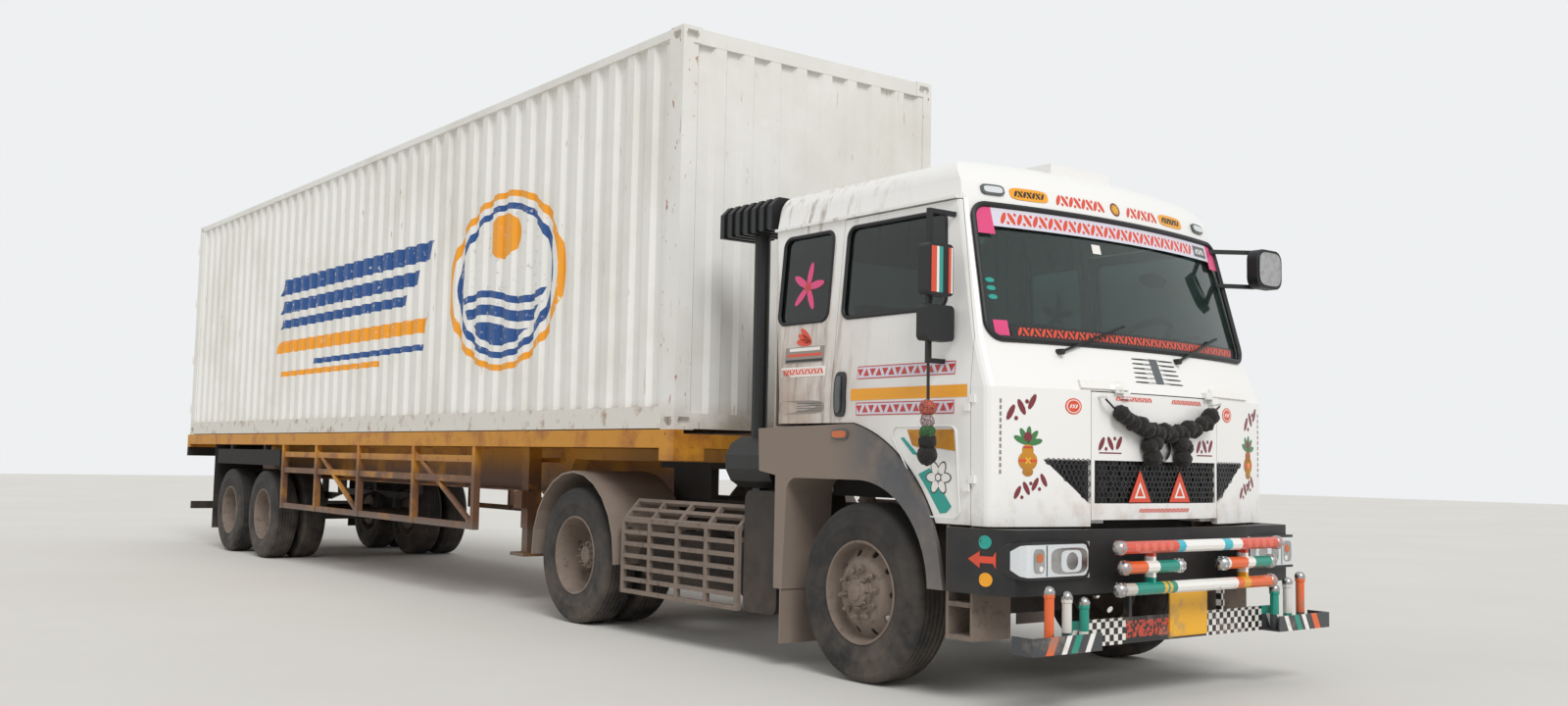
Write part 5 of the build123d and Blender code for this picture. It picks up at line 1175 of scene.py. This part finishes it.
class LORRY_OT_gaskets(Operator):
    """Fit the black rubbers round the windows"""

    bl_idname = "lorry.gaskets"
    bl_label = "Window rubbers"

    screen = ((-1.16, 1.954), (1.16, 1.954), (1.10, 2.722), (-1.10, 2.722))
    screen_corner = 0.09
    door_window = ((-7.065, 2.135), (-6.175, 2.135), (-6.175, 2.69), (-7.005, 2.69))
    side_window = ((-6.035, 2.135), (-5.55, 2.135), (-5.55, 2.69), (-6.035, 2.69))
    corner = 0.06

    def execute(self, context):
        radius = context.scene.lorry_sizes.gasket
        outline = fine(rounded_outline(self.screen, self.screen_corner), 0.08)
        points = [(p.x, front_y(p.x, p.y) - 0.002, p.y) for p in outline]
        carried(beading("windscreen_rubber", points, radius, "black_plastic"), "tractor")
        for name, side in SIDES.items():
            for label, corners, body in (("door", self.door_window, f"door_{name}"),
                                         ("side", self.side_window, "tractor")):
                outline = fine(rounded_outline(corners, self.corner), 0.08)
                points = [(side * (between(side_stages, p.y) - 0.001), p.x, p.y) for p in outline]
                rubber = beading(f"{label}_window_rubber_{name}", points, radius * 0.75, "black_plastic")
                carried(rubber, body)
        return {"FINISHED"}


class LORRY_OT_aprons(Operator):
    """Hang the rubber aprons inside the front wheel arches, above the tyres, also as painted shade of the
    arches
    """

    bl_idname = "lorry.aprons"
    bl_label = "Arch aprons"

    # Half distance apart, stations, and heights clear of the tyre
    half = 0.86
    stations = (-7.02, -5.72)
    heights = (1.062, 1.44)
    thickness = 0.005
    # Waves of the hanging rubber: their depth and how fast they follow each other
    wave = 0.006
    wave_rate = 14

    def execute(self, context):
        front, rear = self.stations
        low, high = self.heights
        for name, side in SIDES.items():
            # Dark rubber sheets: real aprons, and painted shade seen through the arches under the cab
            apron = added("grid", ((front + rear) / 2, (low + high) / 2, 0), (rear - front, high - low, 1),
                          size=1, x_subdivisions=40, y_subdivisions=6, paint="flap_rubber")
            for vertex in apron.data.vertices:
                y, z, _ = vertex.co
                vertex.co = (side * (self.half + self.wave * sin(self.wave_rate * y)), y, z)
            apron.name = f"arch_apron_{name}"
            modify(apron, "SOLIDIFY", thickness=self.thickness, offset=0.0)
            carried(apron, "tractor")
        return {"FINISHED"}


class LORRY_OT_front_paint(Operator):
    """Paint the ornaments of the cab's front and windscreen"""

    bl_idname = "lorry.front_paint"
    bl_label = "Front ornaments"

    # Middles of the plates and lamps on the roof's front edge, and the heights of what is on it
    plates = {"right": -0.69, "left": 0.585}
    lamps = {"right": -0.94, "left": 0.945}
    plate_z = 2.808
    crest_z = 2.806
    lamp_z = 2.812
    # Rings of the small roundels on the corner panels, as (radius, paint), the largest below
    roundel = ((0.044, "vermilion"), (0.037, "white"), (0.032, "vermilion"))
    roundel_place = (0.70, 1.60)

    def execute(self, context):
        self.crown()
        self.windscreen()
        self.cowl()
        flap = []
        for side in (-1, 1):
            flap += vine(side * 0.43 - 0.10, side * 0.43 + 0.10, 1.405, 0.085, "maroon", 0, 0.05)
            flap += [strip(side * 0.43, 1.352, 0.17, 0.007, "maroon", cuts=6)]
            flap += vine(side * 0.24 - 0.15, side * 0.24 + 0.15, 1.655, 0.030, "vermilion")
        flap += vine(-0.20, 0.26, 1.035, 0.026, "vermilion")
        applied("flap_ornaments", flap, "front", "front_flap", "front_flap")
        corners = []
        u, v = self.roundel_place
        for side in (-1, 1):
            corners += pot(side * 1.0, 1.345)
            corners += vine(side * 1.04 - 0.10, side * 1.04 + 0.10, 1.585, 0.095, "maroon", 0, 0.45)
            corners += vine(side * 0.98 - 0.11, side * 0.98 + 0.11, 1.165, 0.080, "maroon", 0, 0.40)
            corners += [disc(side * u, v, radius, paint, layer, stretch=1.3)
                        for layer, (radius, paint) in enumerate(self.roundel)]
            corners += vine(side * u - 0.03, side * u + 0.03, v, 0.026, "white", 3)
            corners += [strip(side * 1.168, 1.24 + n * 0.034, 0.012, 0.022, "steel", 0, 2) for n in range(12)]
        applied("corner_ornaments", corners, "front", "cab_front", "tractor")
        return {"FINISHED"}

    def crown(self):
        """Plates, crest and lamps on the roof's front edge."""
        for name, x in self.plates.items():
            plate = [shield(x, self.plate_z, 0.27, 0.072, "saffron"),
                     *vine(x - 0.11, x + 0.11, self.plate_z, 0.045, "black", 1)]
            applied(f"roof_plate_{name}", plate, "front", "cab_roof", "tractor", thickness=0.003)
        z = self.crest_z
        crest = vine(-0.50, -0.10, z, 0.075, "vermilion") + vine(0.10, 0.42, z, 0.075, "vermilion")
        crest += [disc(0.0, z, 0.042, "maroon"), disc(0.0, z, 0.032, "orange", 1)]
        crest += petals(0.0, z, 6, 0.03, 0.011, "yellow", 2)
        applied("roof_crest", crest, "front", "cab_roof", "tractor")
        for name, x in self.lamps.items():
            lamp = [shield(x, self.lamp_z, 0.15, 0.06, "slate"),
                    shield(x, self.lamp_z, 0.12, 0.038, "glare", 6)]
            applied(f"roof_lamp_{name}", lamp, "front", "cab_roof", "tractor", thickness=0.012)

    def windscreen(self):
        """Printed film along the windscreen's edges, with small stickers, and the sun strip above."""
        film = [strip(0.05, 2.003, 2.08, 0.072, "black", cuts=48),
                *vine(-0.95, 1.05, 2.003, 0.056, "vermilion", 1)]
        film += [strip(-1.045, 2.018, 0.09, 0.085, "pink", cuts=4),
                 strip(-0.235, 2.535, 0.07, 0.055, "white", cuts=3)]
        film += [disc(-1.06, v, 0.014, "teal", 0, 16, 2.0) for v in (2.285, 2.240, 2.190)]
        applied("windscreen_film", film, "front", "cab_glass", "tractor")
        # The sun strip is fixed along the frame's top edge, over the glass and its corners
        gasket = LORRY_OT_gaskets
        arc = [p for p in rounded_outline(gasket.screen, gasket.screen_corner) if p.x > 0.99 and p.y > 2.5]
        end = [(0.985, 2.55), (1.112, 2.55), *arc, (0.985, 2.722)]
        shade = [strip(0.0, 2.660, 1.975, 0.124, "lilac", cuts=48), flat(end, "pink"),
                 flat([(-x, z) for x, z in reversed(end)], "pink")]
        shade += vine(-0.94, 0.78, 2.650, 0.080, "vermilion", 1)
        shade += [strip(0.88, 2.650, 0.16, 0.07, "slate", 1, 4), *vine(0.82, 0.94, 2.650, 0.04, "white", 2)]
        placed("sun_strip", shade, lambda x, z: front_y(x, z) - 0.001, "tractor")

    def cowl(self):
        """Louvres of the cowl under the windscreen, and the two hinge covers."""
        slots = [shield(0.025, 1.758 + n * 0.027, 0.44 - n * 0.012, 0.009, "black") for n in range(6)]
        slots += [flat(((-0.01, 1.755), (0.06, 1.755), (0.06, 1.90), (-0.01, 1.90)), "slate")]
        applied("cowl_louvres", slots, "front", "cab_front", "tractor")
        covers = [strip(x, 1.722, width, 0.046, "white", cuts=8)
                  for x, width in ((-0.47, 0.36), (0.74, 0.46))]
        applied("hinge_covers", covers, "front", "cab_front", "tractor", thickness=0.014)


def pot(u, v):
    """A festive water pot with leaves: neck, belly, band and a fan of leaves."""
    parts = petals(u, v + 0.045, 5, 0.095, 0.034, "green", 0, radians(12), pi)
    parts += [disc(u, v + 0.082, 0.026, "maroon", 1), disc(u, v + 0.012, 0.030, "orange", 1, stretch=1.2),
              disc(u, v - 0.045, 0.052, "orange", 1, stretch=1.15),
              strip(u, v - 0.045, 0.112, 0.014, "vermilion", 2, 3),
              strip(u, v + 0.026, 0.062, 0.010, "red", 2, 3),
              disc(u, v - 0.104, 0.024, "orange", 1, stretch=1.4)]
    parts += petals(u, v - 0.045, 4, 0.026, 0.010, "yellow", 3, pi / 4)
    return parts


def heart_band(start, end, v, height):
    """A lilac band edged in red, with red triangles that point up and down in turn."""
    middle, width = (start + end) / 2, end - start
    parts = [strip(middle, v, width, height, "red", cuts=10),
             strip(middle, v, width - 0.01, height - 0.012, "lilac", 1, 10)]
    count = round(width / (height * 0.72))
    for n in range(count):
        u = start + (n + 0.5) * width / count
        way = 1 if n % 2 else -1
        parts.append(disc(u, v - way * 0.08 * height, height * 0.40, "red", 2, 3, turn=0.0 if n % 2 else pi))
    return parts


class LORRY_OT_side_paint(Operator):
    """Paint the stripes and ornaments of the cab's doors and sides"""

    bl_idname = "lorry.side_paint"
    bl_label = "Side ornaments"

    # Painted strokes on the lower door, by their corners
    orange_patch = ((-7.178, 1.345), (-7.05, 1.36), (-6.93, 1.352), (-6.84, 1.375), (-6.80, 1.462),
                    (-7.165, 1.462))
    teal_stroke = ((-7.150, 1.045), (-7.110, 1.010), (-7.060, 1.005), (-6.965, 1.130), (-6.890, 1.215),
                   (-6.980, 1.250))
    teal_dab = ((-6.895, 1.318), (-6.845, 1.325), (-6.745, 1.415), (-6.770, 1.420))
    flower = (-7.05, 1.20)
    # The pressed panel's outline on the door, and how far out from the middle its bead lies
    recess = ((-7.225, 0.985), (-6.985, 0.985), (-6.640, 1.480), (-7.185, 1.480))
    recess_corner = 0.045
    recess_x = 1.2405
    recess_bead = 0.004
    # Station of the plain bands behind the door, and the bands, as (height, length, width, paint)
    bands_y = -5.84
    bands = ((1.965, 0.30, 0.02, "white"), (1.93, 0.34, 0.016, "vermilion"), (1.895, 0.36, 0.016, "black"))

    def execute(self, context):
        for name, side in SIDES.items():
            self.door(name, side)
            self.rear_panel(name)
            lamp = [shield(-6.235, 1.438, 0.150, 0.062, "slate"),
                    shield(-6.235, 1.438, 0.125, 0.042, "amber", 8)]
            applied(f"repeater_{name}", lamp, name, "fenders", "tractor", thickness=0.008)
            sticker = petals(-5.80, 2.36, 5, 0.16, 0.05, "pink", 0, 0.5) + [disc(-5.80, 2.36, 0.03, "red", 1)]
            applied(f"pane_sticker_{name}", sticker, name, "cab_glass", "tractor")
        return {"FINISHED"}

    def door(self, name, side):
        """Stripe, bands, strokes, flower, handle and pressed panel of one door."""
        body = f"door_{name}"
        paint = [strip(-6.79, 1.670, 0.96, 0.068, "saffron", cuts=12)]
        paint += heart_band(-7.17, -6.36, 1.798, 0.075) + heart_band(-7.17, -6.36, 1.585, 0.075)
        paint += [flat(self.orange_patch, "orange"), flat(self.teal_stroke, "teal"),
                  flat(self.teal_dab, "teal")]
        paint += petals(*self.flower, 6, 0.100, 0.058, "black", 1)
        paint += petals(*self.flower, 6, 0.092, 0.048, "white", 2)
        paint += [disc(*self.flower, 0.024, "black", 3), disc(*self.flower, 0.017, "white", 4)]
        applied(f"door_paint_{name}", paint, name, body, body)
        handle = [shield(-6.215, 1.675, 0.105, 0.27, "black"),
                  shield(-6.205, 1.675, 0.045, 0.22, "slate", 12)]
        applied(f"door_handle_{name}", handle, name, body, body, thickness=0.010)
        outline = fine(rounded_outline(self.recess, self.recess_corner), 0.1)
        points = [(side * self.recess_x, p.x, p.y) for p in outline]
        carried(beading(f"door_press_{name}", points, self.recess_bead, "cab_white"), body)

    def rear_panel(self, name):
        """Air slots, leaves and bands on the cab's side behind the door."""
        panel = [shield(-5.82, 1.605, 0.48, 0.080, "steel")]
        panel += [strip(-5.82, 1.583 + n * 0.015, 0.44, 0.004, "slate", 1, 2) for n in range(4)]
        panel += petals(-5.90, 2.00, 3, 0.15, 0.045, "vermilion", 0, 0.1, 0.9)
        panel += [strip(self.bands_y, 1.93, 0.38, 0.10, "steel", cuts=3)]
        panel += [strip(self.bands_y, z, length, width, paint, 1, 3)
                  for z, length, width, paint in self.bands]
        panel += [strip(self.bands_y, 1.825, 0.44, 0.060, "white", cuts=3)]
        panel += vine(-6.04, -5.64, 1.825, 0.045, "vermilion", 1)
        applied(f"side_paint_{name}", panel, name, "cab_sides", "tractor")


class LORRY_OT_bumper_paint(Operator):
    """Paint the dots and arrows of the bumper, and fit the headlamps"""

    bl_idname = "lorry.bumper_paint"
    bl_label = "Bumper ornaments"

    arrow = ((-7.505, 0.738), (-7.490, 0.765), (-7.420, 0.765), (-7.420, 0.738), (-7.335, 0.782),
             (-7.420, 0.826), (-7.420, 0.800), (-7.490, 0.800), (-7.505, 0.826))
    # Middle height of the lamps, depth of their housings, station of their flat front, where they bend
    # round the bumper's corner, and how fast
    middle_z = 0.785
    deep = 0.045
    front = -7.674
    bend = 1.180
    turn_back = 29.0

    def execute(self, context):
        for name, side in SIDES.items():
            marks = [flat(self.arrow, "vermilion"), disc(-7.447, 0.873, 0.035, "teal"),
                     disc(-7.452, 0.680, 0.036, "saffron")]
            applied(f"bumper_marks_{name}", marks, name, "bumper", "tractor")
            housing = modify(self.lens(side * 0.984, self.middle_z, 0.534, 0.196, "black"), "SOLIDIFY",
                             thickness=self.deep / layer_step, offset=-1.0)
            placed(f"lamp_housing_{name}", [housing], self.lamp_y, "tractor", 0)
            bowls = [self.lens(side * 0.986, self.middle_z, 0.500, 0.166, "glare", 2),
                     strip(side * 1.060, self.middle_z, 0.010, 0.158, "slate", 3, 2),
                     shield(side * 0.885, 0.782, 0.285, 0.136, "chrome", 4),
                     shield(side * 0.870, 0.780, 0.16, 0.115, "glare", 5),
                     disc(side * 0.865, 0.780, 0.046, "chrome", 6, 32),
                     shield(side * 1.120, self.middle_z, 0.085, 0.125, "chrome", 4),
                     disc(side * 1.115, 0.800, 0.026, "amber", 6, 6),
                     disc(side * 1.105, 0.745, 0.015, "white", 6, 12)]
            placed(f"headlamp_{name}", bowls, self.lamp_y, "tractor")
        return {"FINISHED"}

    def lamp_y(self, x, _):
        """Station of the lamp glass, which bends back round the bumper's corner."""
        return self.front + self.turn_back * max(0.0, abs(x) - self.bend) ** 2

    def lens(self, u, v, width, height, paint, layer=0):
        """A band with its corners rounded off, fine enough to bend."""
        piece = strip(u, v, width, height, paint, layer, 28)
        for vertex in piece.data.vertices:
            share = min(0.985, abs(vertex.co.x - u) / (width / 2))
            vertex.co.y = v + (vertex.co.y - v) * (1 - share ** 26) ** 0.5
        return piece


class LORRY_OT_rails(Operator):
    """Put the steel balls on the guard rails and on the posts"""

    bl_idname = "lorry.rails"
    bl_label = "Steel balls"

    # Places of the balls by half distance apart, station, height and radius: on the rails' ends, then on
    # the posts, where they have necks
    rail_balls = ((0.710, -7.865, 0.856, 0.0405), (0.660, -7.855, 0.750, 0.0405),
                  (0.200, -7.855, 0.750, 0.0405), (0.680, -7.845, 0.636, 0.0405))
    post_balls = ((1.130, -7.754, 0.636, 0.0310), (0.995, -7.754, 0.606, 0.0310),
                  (0.860, -7.754, 0.571, 0.0310))
    # The flat knobs along the upper rail, from right to left
    knobs_x = (-0.60, -0.53, -0.46, -0.39, -0.32, 0.40, 0.47, 0.54, 0.61)
    knobs_y, knobs_z = -7.894, 0.856

    def execute(self, context):
        parts = [added("uv_sphere", (side * x, y, z), segments=24, ring_count=14, radius=radius,
                       paint="chrome")
                 for x, y, z, radius in self.rail_balls + self.post_balls for side in (-1, 1)]
        parts += [added("cylinder", (side * x, y, z - radius), vertices=16, radius=radius * 0.55,
                        depth=radius, paint="chrome")
                  for x, y, z, radius in self.post_balls for side in (-1, 1)]
        carried(joined("steel_balls", parts), "tractor")
        knobs = [added("uv_sphere", (x, self.knobs_y, self.knobs_z), (1, 0.30, 1), segments=14, ring_count=8,
                       radius=0.024, paint="salmon") for x in self.knobs_x]
        carried(joined("rail_knobs", knobs), "tractor")
        return {"FINISHED"}


class LORRY_OT_grille(Operator):
    """Fit the fine honeycomb of the grille, the red triangles and the plain dome"""

    bl_idname = "lorry.grille"
    bl_label = "Grille"

    pitch = 0.034
    rib = 0.007
    rib_depth = 0.005
    opening_z = (1.078, 1.307)
    middle_half = 0.548
    # The wings' lower corners and upper outer corner, and the heights of their backing
    wing = (0.580, 0.592, 0.897)
    wing_z = (1.080, 1.304)
    # Middles of the warning triangles, and the plain dome's place and radius
    triangles = {"right": -0.195, "left": 0.165}
    triangle_y = -7.592
    dome_place = (0.0, -7.600, 1.385)
    dome_r = 0.075

    def execute(self, context):
        cell = added("circle", vertices=6, radius=self.pitch / sqrt(3), fill_type="NGON", paint="black")
        bpy.ops.object.mode_set(mode="EDIT")
        bpy.ops.mesh.select_all(action="SELECT")
        bpy.ops.mesh.inset(thickness=self.rib / 2)
        bpy.ops.mesh.delete(type="FACE")
        bpy.ops.object.mode_set(mode="OBJECT")
        placed("grille_backing", [strip(0.0, 1.192, 1.09, 0.226, "black")],
               lambda x, z: front_y(x, z) + 0.024, "front_flap")
        self.comb(cell, "grille_comb", "front_flap", 0.008,
                  lambda x, z: abs(x) < self.middle_half - self.pitch * 0.3)
        for name, side in SIDES.items():
            applied(f"grille_wing_{name}", [flat(self.wing_corners(side), "black")], "front", "cab_front",
                    "tractor")
            self.comb(cell, f"grille_wing_comb_{name}", "tractor", 0.004,
                      lambda x, z: self.in_wing(side * x, z))
        bpy.data.objects.remove(cell)
        for name, x in self.triangles.items():
            sign = [disc(x, 1.140, 0.118, "vermilion", 0, 3, 0.95),
                    disc(x, 1.134, 0.060, "white", 1, 3, 0.95),
                    disc(x, 1.132, 0.036, "vermilion", 2, 3, 0.95)]
            placed(f"warning_triangle_{name}", sign, lambda u, v: self.triangle_y, "front_flap",
                   thickness=0.003)
        dome = added("uv_sphere", self.dome_place, (1, 0.22, 1), segments=32, ring_count=16,
                     radius=self.dome_r, paint="chrome")
        dome.name = "plain_dome"
        carried(dome, "front_flap")
        return {"FINISHED"}

    def wing_corners(self, side):
        """Corners of a wing's backing, counter-clockwise on either side."""
        inner, low, high = self.wing
        bottom, top = self.wing_z
        corners = [(side * x, z) for x, z in ((inner, bottom), (low, bottom), (high, top), (inner, top))]
        return corners if side > 0 else corners[::-1]

    def in_wing(self, x, z):
        """Whether a cell of the honeycomb lies in a corner panel's wing of the grille."""
        inner, low, high = self.wing
        edge = low + (high - low) * (z - self.opening_z[0]) / (self.opening_z[1] - self.opening_z[0])
        return inner + 0.012 < x < edge - 0.018

    def comb(self, cell, name, body, depth, keep):
        """Copies of one cell in staggered rows, bowed as the cab's front is, given their thickness."""
        rise = self.pitch * sqrt(3) / 2
        cells = []
        for row in range(int((self.opening_z[1] - self.opening_z[0]) / rise) + 1):
            z = self.opening_z[0] + rise * 0.5 + row * rise
            for column in range(-27, 28):
                x = (column + (0.5 if row % 2 else 0.0)) * self.pitch
                if keep(x, z) and z < self.opening_z[1]:
                    cells.append(copy_at(cell, "cell", (x, z, 0)))
        piece = joined(name, cells)
        for vertex in piece.data.vertices:
            x, z, _ = vertex.co
            vertex.co = (x, front_y(x, z) + depth, z)
        modify(piece, "SOLIDIFY", thickness=self.rib_depth, offset=1.0)
        return carried(piece, body, smooth=False)


class LORRY_OT_mirrors(Operator):
    """Fit the mirrors' glass and the painted cover"""

    bl_idname = "lorry.mirrors"
    bl_label = "Mirrors"

    # Bands of the cover from the outside in, as (from x, to x, paint)
    bands = ((-1.418, -1.380, "vermilion"), (-1.378, -1.360, "white"), (-1.358, -1.332, "teal"),
             (-1.290, -1.272, "vermilion"), (-1.270, -1.258, "white"))

    # The left mirror's outline, as (u, v, width, height)
    left = (1.3425, 2.565, 0.235, 0.215)

    def execute(self, context):
        cover = [strip((a + b) / 2, 2.322, b - a, 0.250, paint, cuts=2) for a, b, paint in self.bands]
        applied("cover_bands", cover, "front", "mirror_right", "door_right")
        glass = [shield(-1.345, 2.322, 0.165, 0.250, "chrome"), shield(-1.345, 2.032, 0.180, 0.165, "chrome")]
        applied("mirror_glass_right", glass, "rear", "mirror_right", "door_right")
        applied("mirror_back_left", [shield(*self.left, "chrome")], "front", "mirror_left", "tractor",
                thickness=0.006)
        applied("mirror_glass_left", [shield(*self.left, "chrome")], "rear", "mirror_left", "tractor")
        inner = added("uv_sphere", (0.62, -7.06, 2.455), (1.0, 0.12, 0.34), segments=24, ring_count=12,
                      radius=0.14, paint="black")
        inner.name = "inner_mirror"
        carried(inner, "tractor")
        return {"FINISHED"}


pieces = (LORRY_OT_stage, LORRY_OT_garland, LORRY_OT_tassel, LORRY_OT_finishes, LORRY_OT_wheels,
          LORRY_OT_gaskets, LORRY_OT_aprons, LORRY_OT_front_paint, LORRY_OT_side_paint,
          LORRY_OT_bumper_paint, LORRY_OT_rails, LORRY_OT_grille, LORRY_OT_mirrors)


class LORRY_PT_panel(Panel):
    """Sizes, colours and pieces of the lorry"""

    bl_label = "Decorated lorry"
    bl_space_type = "VIEW_3D"
    bl_region_type = "UI"
    bl_category = "Lorry"

    def draw(self, context):
        for settings in (context.scene.lorry_sizes, context.scene.lorry_colours):
            # The first two properties are the group's own type and name
            for name in settings.bl_rna.properties.keys()[2:]:
                self.layout.prop(settings, name)
        for piece in pieces:
            self.layout.operator(piece.bl_idname)


classes = (LorrySizes, LorryColours, *pieces, LORRY_PT_panel)


def register():
    for one in classes:
        bpy.utils.register_class(one)
    bpy.types.Scene.lorry_sizes = PointerProperty(type=LorrySizes)
    bpy.types.Scene.lorry_colours = PointerProperty(type=LorryColours)


def unregister():
    del bpy.types.Scene.lorry_colours
    del bpy.types.Scene.lorry_sizes
    for one in reversed(classes):
        bpy.utils.unregister_class(one)


def main():
    """Make every piece in order."""
    register()
    for piece in pieces:
        group, name = piece.bl_idname.split(".")
        getattr(getattr(bpy.ops, group), name)()


if __name__ == "__main__":
    main()
